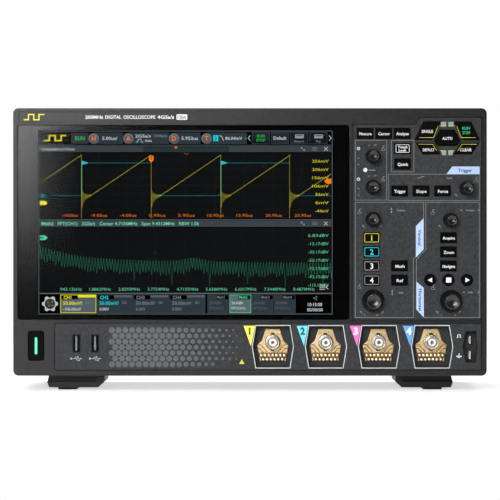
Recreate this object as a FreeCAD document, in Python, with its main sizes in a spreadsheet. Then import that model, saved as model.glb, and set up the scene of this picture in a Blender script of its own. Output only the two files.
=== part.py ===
import FreeCAD, Part
import math
import os
import re
import Sketcher

# Bench oscilloscope with four channels. Millimetres, +X right seen from the front, +Y to the back,
# +Z up. The origin is under the middle of the bounding box, on the table.

sizes = {
    # case
    "body_width": 358.14,
    "top_height": 214.72,
    "total_depth": 120.62,
    "knob_reach": 13.0,
    "body_bottom": 12.4,
    "corner": 4.0,
    "wall": 2.5,
    "bezel_depth": 20.0,
    "bezel_plate": 2.9,
    "seam": 0.3,
    # front openings
    "side_band": 3.5,
    "panel_side": 4.2,
    "panel_width": 96.8,
    "panel_bottom": 54.9,
    "panel_top_band": 7.2,
    "panel_step": 5.2,
    "panel_step_x": 47.5,
    "panel_plate": 3.0,
    "panel_gap": 0.45,
    "flange": 0.9,
    "flange_plate": 1.5,
    "flange_lip": 0.8,
    "glass_top_band": 12.9,
    "glass_gap": 3.0,
    "glass_plate": 1.1,
    "seat_depth": 1.25,
    "picture_gap": 0.3,
    "screen_left": 16.1,
    "screen_bottom": 4.4,
    "screen_width": 221.4,
    "screen_height": 137.9,
    "screen_module": 5.0,
    "module_margin": 4.0,
    "strip_bottom": 17.0,
    "strip_height": 34.9,
    "strip_left": 31.8,
    "strip_right": 4.5,
    # plate recess for a name
    "plate_left": 3.9,
    "plate_drop": 2.4,
    "plate_width": 149.4,
    "plate_height": 8.5,
    "plate_depth": 0.5,
    # power button
    "power_inset": 17.3,
    "power_height": 35.1,
    "power_w": 10.1,
    "power_h": 20.5,
    "power_rim": 1.2,
    # keys
    "key_w": 12.2,
    "key_h": 7.8,
    "round_key": 4.45,
    "key_gap": 0.3,
    "key_proud": 1.0,
    "key_depth": 7.0,
    "key_lip": 0.35,
    "key_travel": 1.0,
    "board_back": 10.5,
    "board_plate": 1.6,
    # knobs
    "small_base": 5.75,
    "small_top": 3.9,
    "large_base": 8.55,
    "large_top": 5.6,
    "knob_lift": 0.8,
    "shaft_radius": 3.0,
    "shaft_flat": 1.5,
    "shaft_reach": 9.0,
    "shaft_fit": 0.05,
    "bush_wall": 0.6,
    "encoder_w": 11.0,
    "encoder_depth": 5.7,
    # input windows and sockets
    "channel_inset": 41.4,
    "channel_pitch": 40.13,
    "window_mid": 15.3,
    "window_end": 12.7,
    "window_h": 31.5,
    "window_depth": 9.0,
    "window_wall": 1.3,
    "bnc_height": 37.6,
    "barrel": 4.83,
    "barrel_wall": 0.78,
    "lug_radius": 1.0,
    "lug_reach": 0.67,
    "lug_back": 5.5,
    "insulator": 2.5,
    "contact": 0.68,
    "plate_gap": 0.77,
    "gold_plate": 1.5,
    # front sockets and terminals
    "usb_left": 47.9,
    "usb_pitch": 14.2,
    "usb_height": 36.9,
    "usb_w": 5.8,
    "usb_h": 13.45,
    "usb_deep": 14.0,
    "probe_inset": 12.75,
    "probe_w": 9.0,
    "probe_h": 23.8,
    # feet and legs
    "foot_out": 23.8,
    "lip_height": 6.2,
    "lip_step": 5.0,
    "foot_front": 24.0,
    "foot_deep": 38.0,
    "sole": 1.8,
    "pad_w": 14.2,
    "leg_w": 16.0,
    "leg_long": 30.0,
    "leg_half": 3.4,
    "leg_gap": 0.6,
    "stub": 1.8,
    "stub_fit": 0.06,
    "pivot_height": 6.4,
    # handle
    "handle_w": 170.0,
    "handle_arm": 9.0,
    "handle_grip": 15.0,
    "handle_long": 52.0,
    "handle_half": 4.4,
    "handle_gap": 1.2,
    "recess_depth": 13.0,
    "handle_back": 16.0,
    "pivot_radius": 3.0,
    # back
    "bay_depth": 12.0,
    "bay_left": 14.0,
    "bay_width": 150.0,
    "bay_bottom": 9.0,
    "bay_height": 34.0,
    "boss": 6.0,
    "boss_inset": 7.6,
    "boss_front": 12.0,
    "well": 4.2,
    "screw": 1.6,
    "head": 3.8,
    "fan_size": 80.0,
    "fan_depth": 20.0,
    "fan_left": 96.0,
    "fan_height": 132.0,
    "fan_gap": 1.0,
    "rotor": 36.5,
    "slot": 3.2,
    "slot_pitch": 7.0,
    "inlet_right": 76.0,
    "inlet_height": 48.0,
    "inlet_w": 27.0,
    "inlet_h": 19.8,
    "inlet_deep": 20.0,
    "main_back": 26.0,
}

# places of the controls, measured from the lower left corner of the control panel
rect_keys = {
    "measure": (8.9, 140.7), "cursor": (23.0, 140.7), "analyse": (36.9, 140.7),
    "touch_lock": (37.2, 129.2), "quick": (37.2, 117.6),
    "trigger": (35.0, 97.2), "slope": (51.2, 97.2), "force": (67.5, 97.2),
    "channel_1": (13.9, 61.8), "channel_2": (13.9, 51.2), "channel_3": (13.9, 40.6),
    "channel_4": (13.9, 29.8), "math": (35.0, 40.6), "ref": (35.0, 29.8),
    "acquire": (71.9, 61.9), "zoom": (71.9, 51.1), "navigate": (71.9, 40.5),
}
round_keys = {"back": (58.1, 29.9), "stop": (72.0, 29.9), "play": (86.0, 29.9)}
small_knobs = {
    "multi_a": (14.9, 123.2), "multi_b": (14.9, 100.0), "trigger_level": (85.6, 99.2),
    "vertical_position": (14.9, 75.7), "horizontal_position": (73.4, 75.0),
}
large_knobs = {"vertical_scale": (14.9, 14.1), "horizontal_scale": (73.7, 13.8)}

# corners of the slanted keys around run control, from the middle of the group
group = (71.0, 135.3)
slanted_keys = {
    "single": ((-17.9, 14.2), (-4.8, 14.2), (-11.3, 0.5), (-24.3, 0.5)),
    "run_stop": ((4.8, 14.2), (17.9, 14.2), (24.3, 0.5), (11.3, 0.5)),
    "auto": ((-5.4, 8.0), (5.4, 8.0), (10.0, -0.1), (7.2, -3.9), (-7.2, -3.9), (-10.0, -0.1)),
    "default": ((-23.7, -1.8), (-10.4, -1.8), (-5.0, -10.3), (-18.4, -10.3)),
    "clear": ((10.4, -1.8), (23.7, -1.8), (18.4, -10.3), (5.0, -10.3)),
}

FRONT = "(-total_depth / 2 + knob_reach)"
REAR = "(total_depth / 2)"
SPLIT = "(-total_depth / 2 + knob_reach + bezel_depth)"
PANEL_LEFT = "(body_width / 2 - panel_side - panel_width)"
PANEL_TOP = "(top_height - panel_top_band)"
GLASS_LEFT = "(-body_width / 2 + side_band)"
GLASS_RIGHT = "(%s - glass_gap)" % PANEL_LEFT
GLASS_TOP = "(top_height - glass_top_band)"
STRIP_LEFT = "(-body_width / 2 + strip_left)"
STRIP_RIGHT = "(body_width / 2 - strip_right)"
STRIP_TOP = "(strip_bottom + strip_height)"
CHANNEL_4 = "(body_width / 2 - channel_inset)"
WINDOW_MID = "(strip_bottom + strip_height / 2 - 0.1)"
FAN_X = "(-body_width / 2 + fan_left)"
HANDLE_Y = "(%s - handle_back)" % REAR
HANDLE_Z = "(top_height - handle_half - 0.5)"
FLOOR = "(%s + window_depth)" % FRONT
BAY_X = "(-body_width / 2 + bay_left)"
BAY_LOW = "(body_bottom + bay_bottom)"
BAY_Z = "(body_bottom + bay_bottom + 17)"
LAN_X = "(-body_width / 2 + bay_left + 90)"
HDMI_X = "(-body_width / 2 + bay_left + 114)"
USB_B_X = "(-body_width / 2 + bay_left + 136)"
INLET_X = "(body_width / 2 - inlet_right)"
BOARD_Z = "(%s - 8.5)" % BAY_Z
LEG_Y = "(%s + foot_front + lip_step + 1 + leg_half + leg_gap)" % FRONT

doc = FreeCAD.newDocument("bench_oscilloscope")
sheet = doc.addObject("Spreadsheet::Sheet", "Sizes")
for row, (alias, value) in enumerate(sizes.items(), 1):
    sheet.set("A%d" % row, alias)
    sheet.set("B%d" % row, str(value))
    sheet.setAlias("B%d" % row, alias)
doc.recompute()

word = re.compile(r"[a-z][a-z0-9_]*")
subparts = []


def formula(text):
    # a size's name becomes its cell in the sheet
    return word.sub(lambda found: "Sizes." + found[0] if found[0] in sizes else found[0], str(text))


def bind(item, prop, text):
    item.setExpression(prop, formula(text))


def place(item, x, y, z, turn=None):
    if turn:
        item.Placement = FreeCAD.Placement(FreeCAD.Vector(), FreeCAD.Rotation(*turn))
    for axis, text in zip("xyz", (x, y, z)):
        bind(item, "Placement.Base." + axis, text)
    return item


def subpart(item, label):
    item.Label = label
    subparts.append(item)
    return item


# --- solid primitives -----------------------------------------------------------------

to_back = (FreeCAD.Vector(1, 0, 0), -90)


def box(name, low, size):
    item = doc.addObject("Part::Box", name)
    for prop, text in zip(("Length", "Width", "Height"), size):
        bind(item, prop, text)
    return place(item, *low)


def rod(name, start, radius, length, turn=to_back):
    item = doc.addObject("Part::Cylinder", name)
    bind(item, "Radius", radius)
    bind(item, "Height", length)
    return place(item, *start, turn)


def cut(name, base, tool):
    item = doc.addObject("Part::Cut", name)
    item.Base = base
    item.Tool = tool
    return item


def fuse(name, pieces):
    item = doc.addObject("Part::MultiFuse", name)
    item.Shapes = pieces
    return item


def group_of(label, pieces):
    item = doc.addObject("Part::Compound", label)
    item.Links = pieces
    return subpart(item, label)


# --- bodies from sketches -------------------------------------------------------------

def new_body(label):
    body = doc.addObject("PartDesign::Body", label)
    return subpart(body, label)


def sketch_on(body, name, role, level):
    plane = [item for item in body.Origin.OriginFeatures if item.Role == role][0]
    sketch = body.newObject("Sketcher::SketchObject", name)
    sketch.AttachmentSupport = [(plane, "")]
    sketch.MapMode = "FlatFace"
    bind(sketch, "AttachmentOffset.Base.z", level)
    return sketch


def pin(sketch, geometry, vertex, spot, guess):
    for kind, text, start in zip(("DistanceX", "DistanceY"), spot, guess):
        index = sketch.addConstraint(Sketcher.Constraint(kind, -1, 1, geometry, vertex, start))
        bind(sketch, "Constraints[%d]" % index, text)


def polygon(sketch, corners):
    count = len(corners)
    first = sketch.GeometryCount
    turn = [2 * math.pi * (k + 0.3) / count for k in range(count)]
    start = [FreeCAD.Vector(math.cos(a), math.sin(a), 0) for a in turn]
    for k in range(count):
        sketch.addGeometry(Part.LineSegment(start[k], start[(k + 1) % count]))
    for k in range(count):
        sketch.addConstraint(Sketcher.Constraint("Coincident", first + k, 2, first + (k + 1) % count, 1))
    for k, corner in enumerate(corners):
        pin(sketch, first + k, 1, corner, start[k])
    return sketch


def rectangle(sketch, left, right, low, high):
    return polygon(sketch, ((left, low), (right, low), (right, high), (left, high)))


def circle(sketch, x, y, radius):
    index = sketch.addGeometry(Part.Circle(FreeCAD.Vector(), FreeCAD.Vector(0, 0, 1), 1))
    pin(sketch, index, 3, (x, y), (0, 0))
    size = sketch.addConstraint(Sketcher.Constraint("Radius", index, 1))
    bind(sketch, "Constraints[%d]" % size, radius)
    return sketch


def flatted_circle(sketch, radius, flat):
    arc = Part.ArcOfCircle(Part.Circle(FreeCAD.Vector(), FreeCAD.Vector(0, 0, 1), 2), math.pi - 0.5, 0.5)
    sketch.addGeometry(arc)
    sketch.addGeometry(Part.LineSegment(arc.EndPoint, arc.StartPoint))
    sketch.addConstraint(Sketcher.Constraint("Coincident", 0, 3, -1, 1))
    sketch.addConstraint(Sketcher.Constraint("Coincident", 0, 2, 1, 1))
    sketch.addConstraint(Sketcher.Constraint("Coincident", 1, 2, 0, 1))
    sketch.addConstraint(Sketcher.Constraint("Horizontal", 1))
    size = sketch.addConstraint(Sketcher.Constraint("Radius", 0, 2))
    bind(sketch, "Constraints[%d]" % size, radius)
    height = sketch.addConstraint(Sketcher.Constraint("DistanceY", -1, 1, 1, 1, 1))
    bind(sketch, "Constraints[%d]" % height, flat)
    return sketch


def feature(kind, sketch, length, reverse=False):
    # a pad grows along the sketch's normal and a pocket goes the other way
    body = sketch.getParentGeoFeatureGroup()
    item = body.newObject("PartDesign::" + kind, sketch.Name + "_" + kind.lower())
    item.Profile = sketch
    item.Reversed = reverse
    bind(item, "Length", length)
    doc.recompute()
    if item.BaseFeature and abs(item.BaseFeature.Shape.Volume - item.Shape.Volume) < 1e-6:
        raise RuntimeError("%s changes nothing" % item.Name)
    return item


def dress(kind, base, size_name, size, wanted):
    body = base.getParentGeoFeatureGroup()
    edges = ["Edge%d" % n for n, edge in enumerate(base.Shape.Edges, 1) if wanted(edge)]
    item = body.newObject("PartDesign::" + kind, base.Name + "_" + kind.lower())
    item.Base = (base, edges)
    bind(item, size_name, size)
    doc.recompute()
    return item


def fillet(base, radius, wanted):
    return dress("Fillet", base, "Radius", radius, wanted)


def along_y(edge):
    ends = edge.BoundBox
    return ends.YLength > 0.1 and ends.XLength + ends.ZLength < 1e-6


def at_low_y(shape):
    low = shape.BoundBox.YMin
    return lambda edge: edge.BoundBox.YMax < low + 1e-6


# --- front bezel ----------------------------------------------------------------------

def panel_outline(gap):
    left = "%s - (%s)" % (PANEL_LEFT, gap)
    right = "body_width / 2 - panel_side + (%s)" % gap
    low = "panel_bottom - (%s)" % gap
    high = "%s + (%s)" % (PANEL_TOP, gap)
    step = "%s - panel_step + (%s)" % (PANEL_TOP, gap)
    return (
        (left, low), (right, low), (right, high),
        ("%s + panel_step_x + panel_step / 2 - (%s) / 2" % (PANEL_LEFT, gap), high),
        ("%s + panel_step_x - (%s) / 2" % (PANEL_LEFT, gap), step), (left, step),
    )


def strip_box(gap):
    return (
        "%s - (%s)" % (STRIP_LEFT, gap), "%s + (%s)" % (STRIP_RIGHT, gap),
        "strip_bottom - (%s)" % gap, "%s + (%s)" % (STRIP_TOP, gap),
    )


def front_bezel():
    body = new_body("front_bezel")
    outer = sketch_on(body, "bezel_outer", "XZ_Plane", "-%s" % SPLIT)
    rectangle(outer, "-body_width / 2", "body_width / 2", "body_bottom", "top_height")
    shell = feature("Pad", outer, "bezel_depth")
    rounded = fillet(shell, "corner", along_y)
    fillet(rounded, "0.8", at_low_y(rounded.Shape))
    inner = sketch_on(body, "bezel_inner", "XZ_Plane", "-%s" % SPLIT)
    rectangle(inner, "-body_width / 2 + wall", "body_width / 2 - wall",
              "body_bottom + wall", "top_height - wall")
    feature("Pocket", inner, "bezel_depth - bezel_plate", True)
    bosses = sketch_on(body, "bezel_bosses", "XZ_Plane", "-%s" % SPLIT)
    for x, z in boss_places():
        circle(bosses, x, z, "boss - 0.8")
    feature("Pad", bosses, "bezel_depth - boss_front")
    holes = sketch_on(body, "bezel_screw_holes", "XZ_Plane", "-%s" % SPLIT)
    for x, z in boss_places():
        circle(holes, x, z, "screw + 0.1")
    feature("Pocket", holes, "bezel_depth - boss_front - 1", True)
    seat = sketch_on(body, "glass_seat", "XZ_Plane", "-%s" % FRONT)
    rectangle(seat, "%s - panel_gap" % GLASS_LEFT, "%s + panel_gap" % GLASS_RIGHT,
              "panel_bottom - panel_gap", "%s + panel_gap" % GLASS_TOP)
    feature("Pocket", seat, "seat_depth")
    screen = sketch_on(body, "screen_window", "XZ_Plane", "-%s" % FRONT)
    left = "%s + screen_left" % GLASS_LEFT
    low = "panel_bottom + screen_bottom"
    rectangle(screen, "%s - panel_gap" % left, "%s + screen_width + panel_gap" % left,
              "%s - panel_gap" % low, "%s + screen_height + panel_gap" % low)
    feature("Pocket", screen, "bezel_plate + 1")
    panel = sketch_on(body, "panel_window", "XZ_Plane", "-%s" % FRONT)
    polygon(panel, panel_outline("panel_gap"))
    feature("Pocket", panel, "bezel_plate + 1")
    strip = sketch_on(body, "strip_window", "XZ_Plane", "-%s" % FRONT)
    rectangle(strip, *strip_box("panel_gap"))
    feature("Pocket", strip, "bezel_plate + 1")
    rim = sketch_on(body, "power_rim", "XZ_Plane", "-%s" % FRONT)
    rectangle(rim, *power_box("power_rim"))
    feature("Pocket", rim, "1.0")
    stem = sketch_on(body, "power_window", "XZ_Plane", "-%s" % FRONT)
    rectangle(stem, *power_box("key_gap"))
    feature("Pocket", stem, "bezel_plate + 1")
    name = sketch_on(body, "name_recess", "XZ_Plane", "-%s" % FRONT)
    left = "-body_width / 2 + plate_left"
    high = "top_height - plate_drop"
    rectangle(name, left, left + " + plate_width", high + " - plate_height", high)
    feature("Pocket", name, "plate_depth")


def boss_places():
    high = "top_height - boss_inset"
    low = "body_bottom + boss_inset"
    right = "body_width / 2 - boss_inset"
    left = "-body_width / 2 + boss_inset"
    return ((left, low), (right, low), (left, high), (right, high))


def power_box(gap):
    x = "-body_width / 2 + power_inset"
    return (
        "%s - power_w / 2 - (%s)" % (x, gap), "%s + power_w / 2 + (%s)" % (x, gap),
        "power_height - power_h / 2 - (%s)" % gap, "power_height + power_h / 2 + (%s)" % gap,
    )


# --- screen ---------------------------------------------------------------------------

def screen_glass():
    body = new_body("screen_glass")
    outline = sketch_on(body, "glass_outline", "XZ_Plane", "-%s - seat_depth" % FRONT)
    rectangle(outline, GLASS_LEFT, GLASS_RIGHT, "panel_bottom", GLASS_TOP)
    plate = feature("Pad", outline, "glass_plate")
    fillet(plate, "2.5", along_y)


def lcd_panel():
    body = new_body("lcd_panel")
    left = "%s + screen_left" % GLASS_LEFT
    low = "panel_bottom + screen_bottom"
    back = "-%s - bezel_plate - 0.2 - screen_module" % FRONT
    module = sketch_on(body, "module_outline", "XZ_Plane", back)
    rectangle(module, "%s - module_margin" % left, "%s + screen_width + module_margin" % left,
              "%s - 1" % low, "%s + screen_height + module_margin" % low)
    feature("Pad", module, "screen_module")
    face = sketch_on(body, "screen_outline", "XZ_Plane", back)
    rectangle(face, left, "%s + screen_width" % left, low, "%s + screen_height" % low)
    feature("Pad", face, "screen_module + bezel_plate + 0.2 - seat_depth - picture_gap")


# --- control panel, keys and knobs ------------------------------------------------------

def panel_spot(spot):
    return "%s + %s" % (PANEL_LEFT, spot[0]), "panel_bottom + %s" % spot[1]


def key_box(spot, gap):
    x, z = panel_spot(spot)
    return ("%s - key_w / 2 - (%s)" % (x, gap), "%s + key_w / 2 + (%s)" % (x, gap),
            "%s - key_h / 2 - (%s)" % (z, gap), "%s + key_h / 2 + (%s)" % (z, gap))


def grown(corners, gap):
    # a convex outline moved outwards by gap: each side is shifted along its own normal
    area = sum(a[0] * b[1] - b[0] * a[1] for a, b in zip(corners, corners[1:] + corners[:1]))
    way = 1 if area > 0 else -1
    count = len(corners)
    result = []
    for k in range(count):
        before, here, after = corners[k - 1], corners[k], corners[(k + 1) % count]
        normals = []
        for start, end in ((before, here), (here, after)):
            dx, dz = end[0] - start[0], end[1] - start[1]
            size = math.hypot(dx, dz)
            normals.append((way * dz / size, -way * dx / size))
        (ax, az), (bx, bz) = normals
        scale = 1 / (1 + ax * bx + az * bz)
        result.append(("%.5f + (%s) * %.5f" % (here[0], gap, (ax + bx) * scale),
                       "%.5f + (%s) * %.5f" % (here[1], gap, (az + bz) * scale)))
    return result


def slanted_outline(corners, gap):
    x, z = panel_spot(group)
    return [("%s + %s" % (x, dx), "%s + %s" % (z, dz)) for dx, dz in grown(corners, gap)]


def control_panel():
    body = new_body("control_panel")
    outline = sketch_on(body, "panel_plate_outline", "XZ_Plane", "-%s - panel_plate" % FRONT)
    polygon(outline, panel_outline("0"))
    plate = feature("Pad", outline, "panel_plate")
    fillet(plate, "1.8", along_y)
    rim = sketch_on(body, "panel_flange", "XZ_Plane", "-%s - panel_plate - flange_plate" % FRONT)
    polygon(rim, panel_outline("panel_gap + flange"))
    feature("Pad", rim, "flange_plate")
    holes = sketch_on(body, "panel_holes", "XZ_Plane", "-%s" % FRONT)
    for spot in rect_keys.values():
        rectangle(holes, *key_box(spot, "key_gap"))
    for spot in round_keys.values():
        circle(holes, *panel_spot(spot), "round_key + key_gap")
    for spot in list(small_knobs.values()) + list(large_knobs.values()):
        circle(holes, *panel_spot(spot), "shaft_radius + bush_wall + 0.4")
    for corners in slanted_keys.values():
        polygon(holes, slanted_outline(corners, "key_gap"))
    feature("Pocket", holes, "panel_plate + flange_plate + 1")
    # the flanges of the keys move in a shallow space behind the plate
    space = sketch_on(body, "key_space", "XZ_Plane", "-%s - panel_plate - flange_plate" % FRONT)
    for spot in rect_keys.values():
        rectangle(space, *key_box(spot, "key_lip + key_gap"))
    for spot in round_keys.values():
        circle(space, *panel_spot(spot), "round_key + key_lip + key_gap")
    for corners in slanted_keys.values():
        polygon(space, slanted_outline(corners, "key_lip + key_gap"))
    feature("Pocket", space, "flange_plate", True)


def finish_key(body, name, draw):
    # a cap through the panel and a flange behind it that keeps it in
    cap = sketch_on(body, name + "_cap", "XZ_Plane", "key_proud - key_depth")
    draw(cap, "0")
    top = feature("Pad", cap, "key_depth")
    fillet(top, "0.5", at_low_y(top.Shape))
    lip = sketch_on(body, name + "_lip", "XZ_Plane", "-panel_plate - 0.1 - 1.0")
    draw(lip, "key_lip")
    feature("Pad", lip, "1.0")


def key(name, spot, draw):
    body = new_body("key_" + name)
    x, z = panel_spot(spot)
    place(body, x, FRONT, z)
    finish_key(body, name, draw)


def rect_key(sketch, gap):
    rectangle(sketch, "-key_w / 2 - (%s)" % gap, "key_w / 2 + (%s)" % gap,
              "-key_h / 2 - (%s)" % gap, "key_h / 2 + (%s)" % gap)


def round_outline(sketch, gap):
    circle(sketch, "0", "0", "round_key + (%s)" % gap)


def all_keys():
    for name, spot in rect_keys.items():
        key(name, spot, rect_key)
    for name, spot in round_keys.items():
        key(name, spot, round_outline)
    for name, corners in slanted_keys.items():
        key(name, group, lambda sketch, gap, shape=corners: polygon(sketch, grown(shape, gap)))


def power_button():
    body = new_body("power_button")
    place(body, "-body_width / 2 + power_inset", FRONT, "power_height")
    cap = sketch_on(body, "power_cap", "XZ_Plane", "-8")
    rectangle(cap, "-power_w / 2", "power_w / 2", "-power_h / 2", "power_h / 2")
    top = feature("Pad", cap, "8 - 0.2")
    sides = fillet(top, "2.2", along_y)
    fillet(sides, "0.5", at_low_y(sides.Shape))
    lip = sketch_on(body, "power_lip", "XZ_Plane", "-bezel_plate - 0.1 - 1.2")
    rectangle(lip, "-power_w / 2 - power_rim", "power_w / 2 + power_rim",
              "-power_h / 2 - power_rim", "power_h / 2 + power_rim")
    feature("Pad", lip, "1.2")


def encoder_shaft(name, spot):
    body = new_body("encoder_shaft_" + name)
    x, z = panel_spot(spot)
    place(body, x, FRONT, z)
    tail = "board_back - 0.5"
    round_part = sketch_on(body, name + "_round", "XZ_Plane", "-(%s)" % tail)
    circle(round_part, "0", "0", "shaft_radius")
    feature("Pad", round_part, "%s - panel_plate" % tail)
    flat_part = sketch_on(body, name + "_flat", "XZ_Plane", "-panel_plate")
    flatted_circle(flat_part, "shaft_radius", "shaft_flat")
    feature("Pad", flat_part, "panel_plate + shaft_reach")


def knob(name, spot, base, top):
    body = new_body("knob_" + name)
    x, z = panel_spot(spot)
    place(body, x, FRONT, z)
    profile = sketch_on(body, name + "_profile", "XY_Plane", "0")
    polygon(profile, (
        ("0", "-knob_lift"), (base, "-knob_lift"), (base, "-knob_lift - 1.4"),
        ("%s - 0.5" % base, "-knob_lift - 2.0"), (top, "0.8 - knob_reach"),
        ("%s - 0.5" % top, "-knob_reach"), ("%s - 0.9" % top, "-knob_reach"),
        ("(%s) / 2" % top, "0.55 - knob_reach"), ("0", "0.75 - knob_reach"),
    ))
    turned = body.newObject("PartDesign::Revolution", name + "_turned")
    turned.Profile = profile
    turned.ReferenceAxis = (profile, ["V_Axis"])
    turned.Angle = 360
    bore = sketch_on(body, name + "_bore", "XZ_Plane", "knob_lift")
    flatted_circle(bore, "shaft_radius + shaft_fit", "shaft_flat + shaft_fit")
    feature("Pocket", bore, "shaft_reach + 0.8 - knob_lift", True)


def all_knobs():
    for spots, base, top in ((small_knobs, "small_base", "small_top"),
                             (large_knobs, "large_base", "large_top")):
        for name, spot in spots.items():
            encoder_shaft(name, spot)
            knob(name, spot, base, top)


def control_board():
    low = "panel_bottom + 3"
    back = "%s + board_back" % FRONT
    size = ("panel_width - 5", "board_plate", "%s - panel_step - panel_bottom - 5" % PANEL_TOP)
    pieces = [box("control_pcb", ("%s + 2.5" % PANEL_LEFT, back, low), size)]
    switches = list(rect_keys.values()) + list(round_keys.values())
    for corners in slanted_keys.values():
        middle = [sum(values) / len(corners) for values in zip(*corners)]
        switches.append((group[0] + middle[0], group[1] + middle[1]))
    tall = "board_back - key_depth + key_proud - key_travel - 0.1"
    for n, spot in enumerate(switches):
        x, z = panel_spot(spot)
        pieces.append(box("switch_%d" % n, (x + " - 2.5", "%s - (%s)" % (back, tall), z + " - 2.5"),
                          ("5", tall, "5")))
    for name, spot in list(small_knobs.items()) + list(large_knobs.items()):
        x, z = panel_spot(spot)
        start = "%s - encoder_depth" % back
        block = box("encoder_" + name, (x + " - encoder_w / 2", start, z + " - encoder_w / 2"),
                    ("encoder_w", "encoder_depth", "encoder_w"))
        bush = rod("bush_" + name, (x, "%s - 3" % start, z), "shaft_radius + bush_wall", "4")
        bore = rod("bore_" + name, (x, "%s - 4" % start, z), "shaft_radius + shaft_fit",
                   "encoder_depth + 3.9")
        pieces.append(cut("encoder_body_" + name, fuse("encoder_solid_" + name, [block, bush]), bore))
    group_of("control_board", pieces)


# --- input strip ------------------------------------------------------------------------

def channel_x(k):
    return "(%s - %d * channel_pitch)" % (CHANNEL_4, 3 - k)


def window_outline(k, gap):
    x = channel_x(k)
    mid = "(window_mid + (%s))" % gap
    end = "(window_end + (%s) * 0.8)" % gap
    low = "%s - window_h / 2 - (%s)" % (WINDOW_MID, gap)
    high = "%s + window_h / 2 + (%s)" % (WINDOW_MID, gap)
    return (("%s - %s" % (x, end), low), ("%s + %s" % (x, end), low),
            ("%s + %s" % (x, mid), WINDOW_MID), ("%s + %s" % (x, end), high),
            ("%s - %s" % (x, end), high), ("%s - %s" % (x, mid), WINDOW_MID))


def usb_x(k):
    return "(-body_width / 2 + usb_left + %d * usb_pitch)" % k


def probe_outline(gap):
    x = "(body_width / 2 - probe_inset)"
    side = "(probe_w / 2 + (%s))" % gap
    half = "(probe_h / 2 + (%s))" % gap
    return (("%s - %s + 1.2" % (x, side), "%s - %s" % (WINDOW_MID, half)),
            ("%s + %s" % (x, side), "%s - %s" % (WINDOW_MID, half)),
            ("%s + %s + 1.2" % (x, side), WINDOW_MID),
            ("%s + %s" % (x, side), "%s + %s" % (WINDOW_MID, half)),
            ("%s - %s + 1.2" % (x, side), "%s + %s" % (WINDOW_MID, half)),
            ("%s - %s - 1.2" % (x, side), WINDOW_MID))


def input_panel():
    body = new_body("input_panel")
    outline = sketch_on(body, "strip_outline", "XZ_Plane", "-%s - panel_plate" % FRONT)
    rectangle(outline, *strip_box("0"))
    plate = feature("Pad", outline, "panel_plate")
    fillet(plate, "1.2", along_y)
    rim = sketch_on(body, "strip_flange", "XZ_Plane", "-%s - panel_plate - flange_plate" % FRONT)
    rectangle(rim, *strip_box("panel_gap + flange"))
    feature("Pad", rim, "flange_plate")
    back = "window_depth + 2"
    boxes = sketch_on(body, "window_boxes", "XZ_Plane", "-%s - (%s)" % (FRONT, back))
    for k in range(4):
        polygon(boxes, window_outline(k, "window_wall"))
    polygon(boxes, probe_outline("window_wall"))
    feature("Pad", boxes, "%s - panel_plate" % back)
    windows = sketch_on(body, "windows", "XZ_Plane", "-%s" % FRONT)
    for k in range(4):
        polygon(windows, window_outline(k, "0"))
    polygon(windows, probe_outline("0"))
    feature("Pocket", windows, "window_depth")
    holes = sketch_on(body, "socket_holes", "XZ_Plane", "-%s" % FRONT)
    for k in range(4):
        circle(holes, channel_x(k), "bnc_height", "barrel + 0.4")
    for k in range(2):
        rectangle(holes, usb_x(k) + " - usb_w / 2", usb_x(k) + " + usb_w / 2",
                  "usb_height - usb_h / 2", "usb_height + usb_h / 2")
    feature("Pocket", holes, "window_depth + 3")


def ground_plates():
    body = new_body("ground_plates")
    outline = sketch_on(body, "gold_outline", "XZ_Plane", "-%s" % FLOOR)
    x = channel_x(0)
    z = "bnc_height"
    polygon(outline, (
        (x + " - 5.4", z + " + 10.1"), (x + " + 5.4", z + " + 10.1"), (x + " + 8.4", z + " + 0.9"),
        (x + " + 12.0", z + " - 2.2"), (x + " + 10.0", z + " - 14.8"), (x + " - 10.0", z + " - 14.8"),
        (x + " - 12.0", z + " - 2.2"), (x + " - 8.4", z + " + 0.9"),
    ))
    feature("Pad", outline, "gold_plate")
    hole = sketch_on(body, "gold_hole", "XZ_Plane", "-%s + gold_plate" % FLOOR)
    circle(hole, x, z, "barrel + plate_gap")
    feature("Pocket", hole, "gold_plate")
    slots = sketch_on(body, "gold_lug_slots", "XZ_Plane", "-%s + gold_plate" % FLOOR)
    rectangle(slots, x + " - lug_radius - 0.3", x + " + lug_radius + 0.3",
              z + " - barrel - lug_reach - 1", z + " + barrel + lug_reach + 1")
    last = feature("Pocket", slots, "gold_plate")
    row = body.newObject("PartDesign::LinearPattern", "gold_row")
    row.Originals = [body.getObject("gold_outline_pad"), body.getObject("gold_hole_pocket"), last]
    axis = [item for item in body.Origin.OriginFeatures if item.Role == "X_Axis"][0]
    row.Direction = (axis, [""])
    row.Occurrences = 4
    bind(row, "Length", "3 * channel_pitch")
    body.Tip = row


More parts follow.
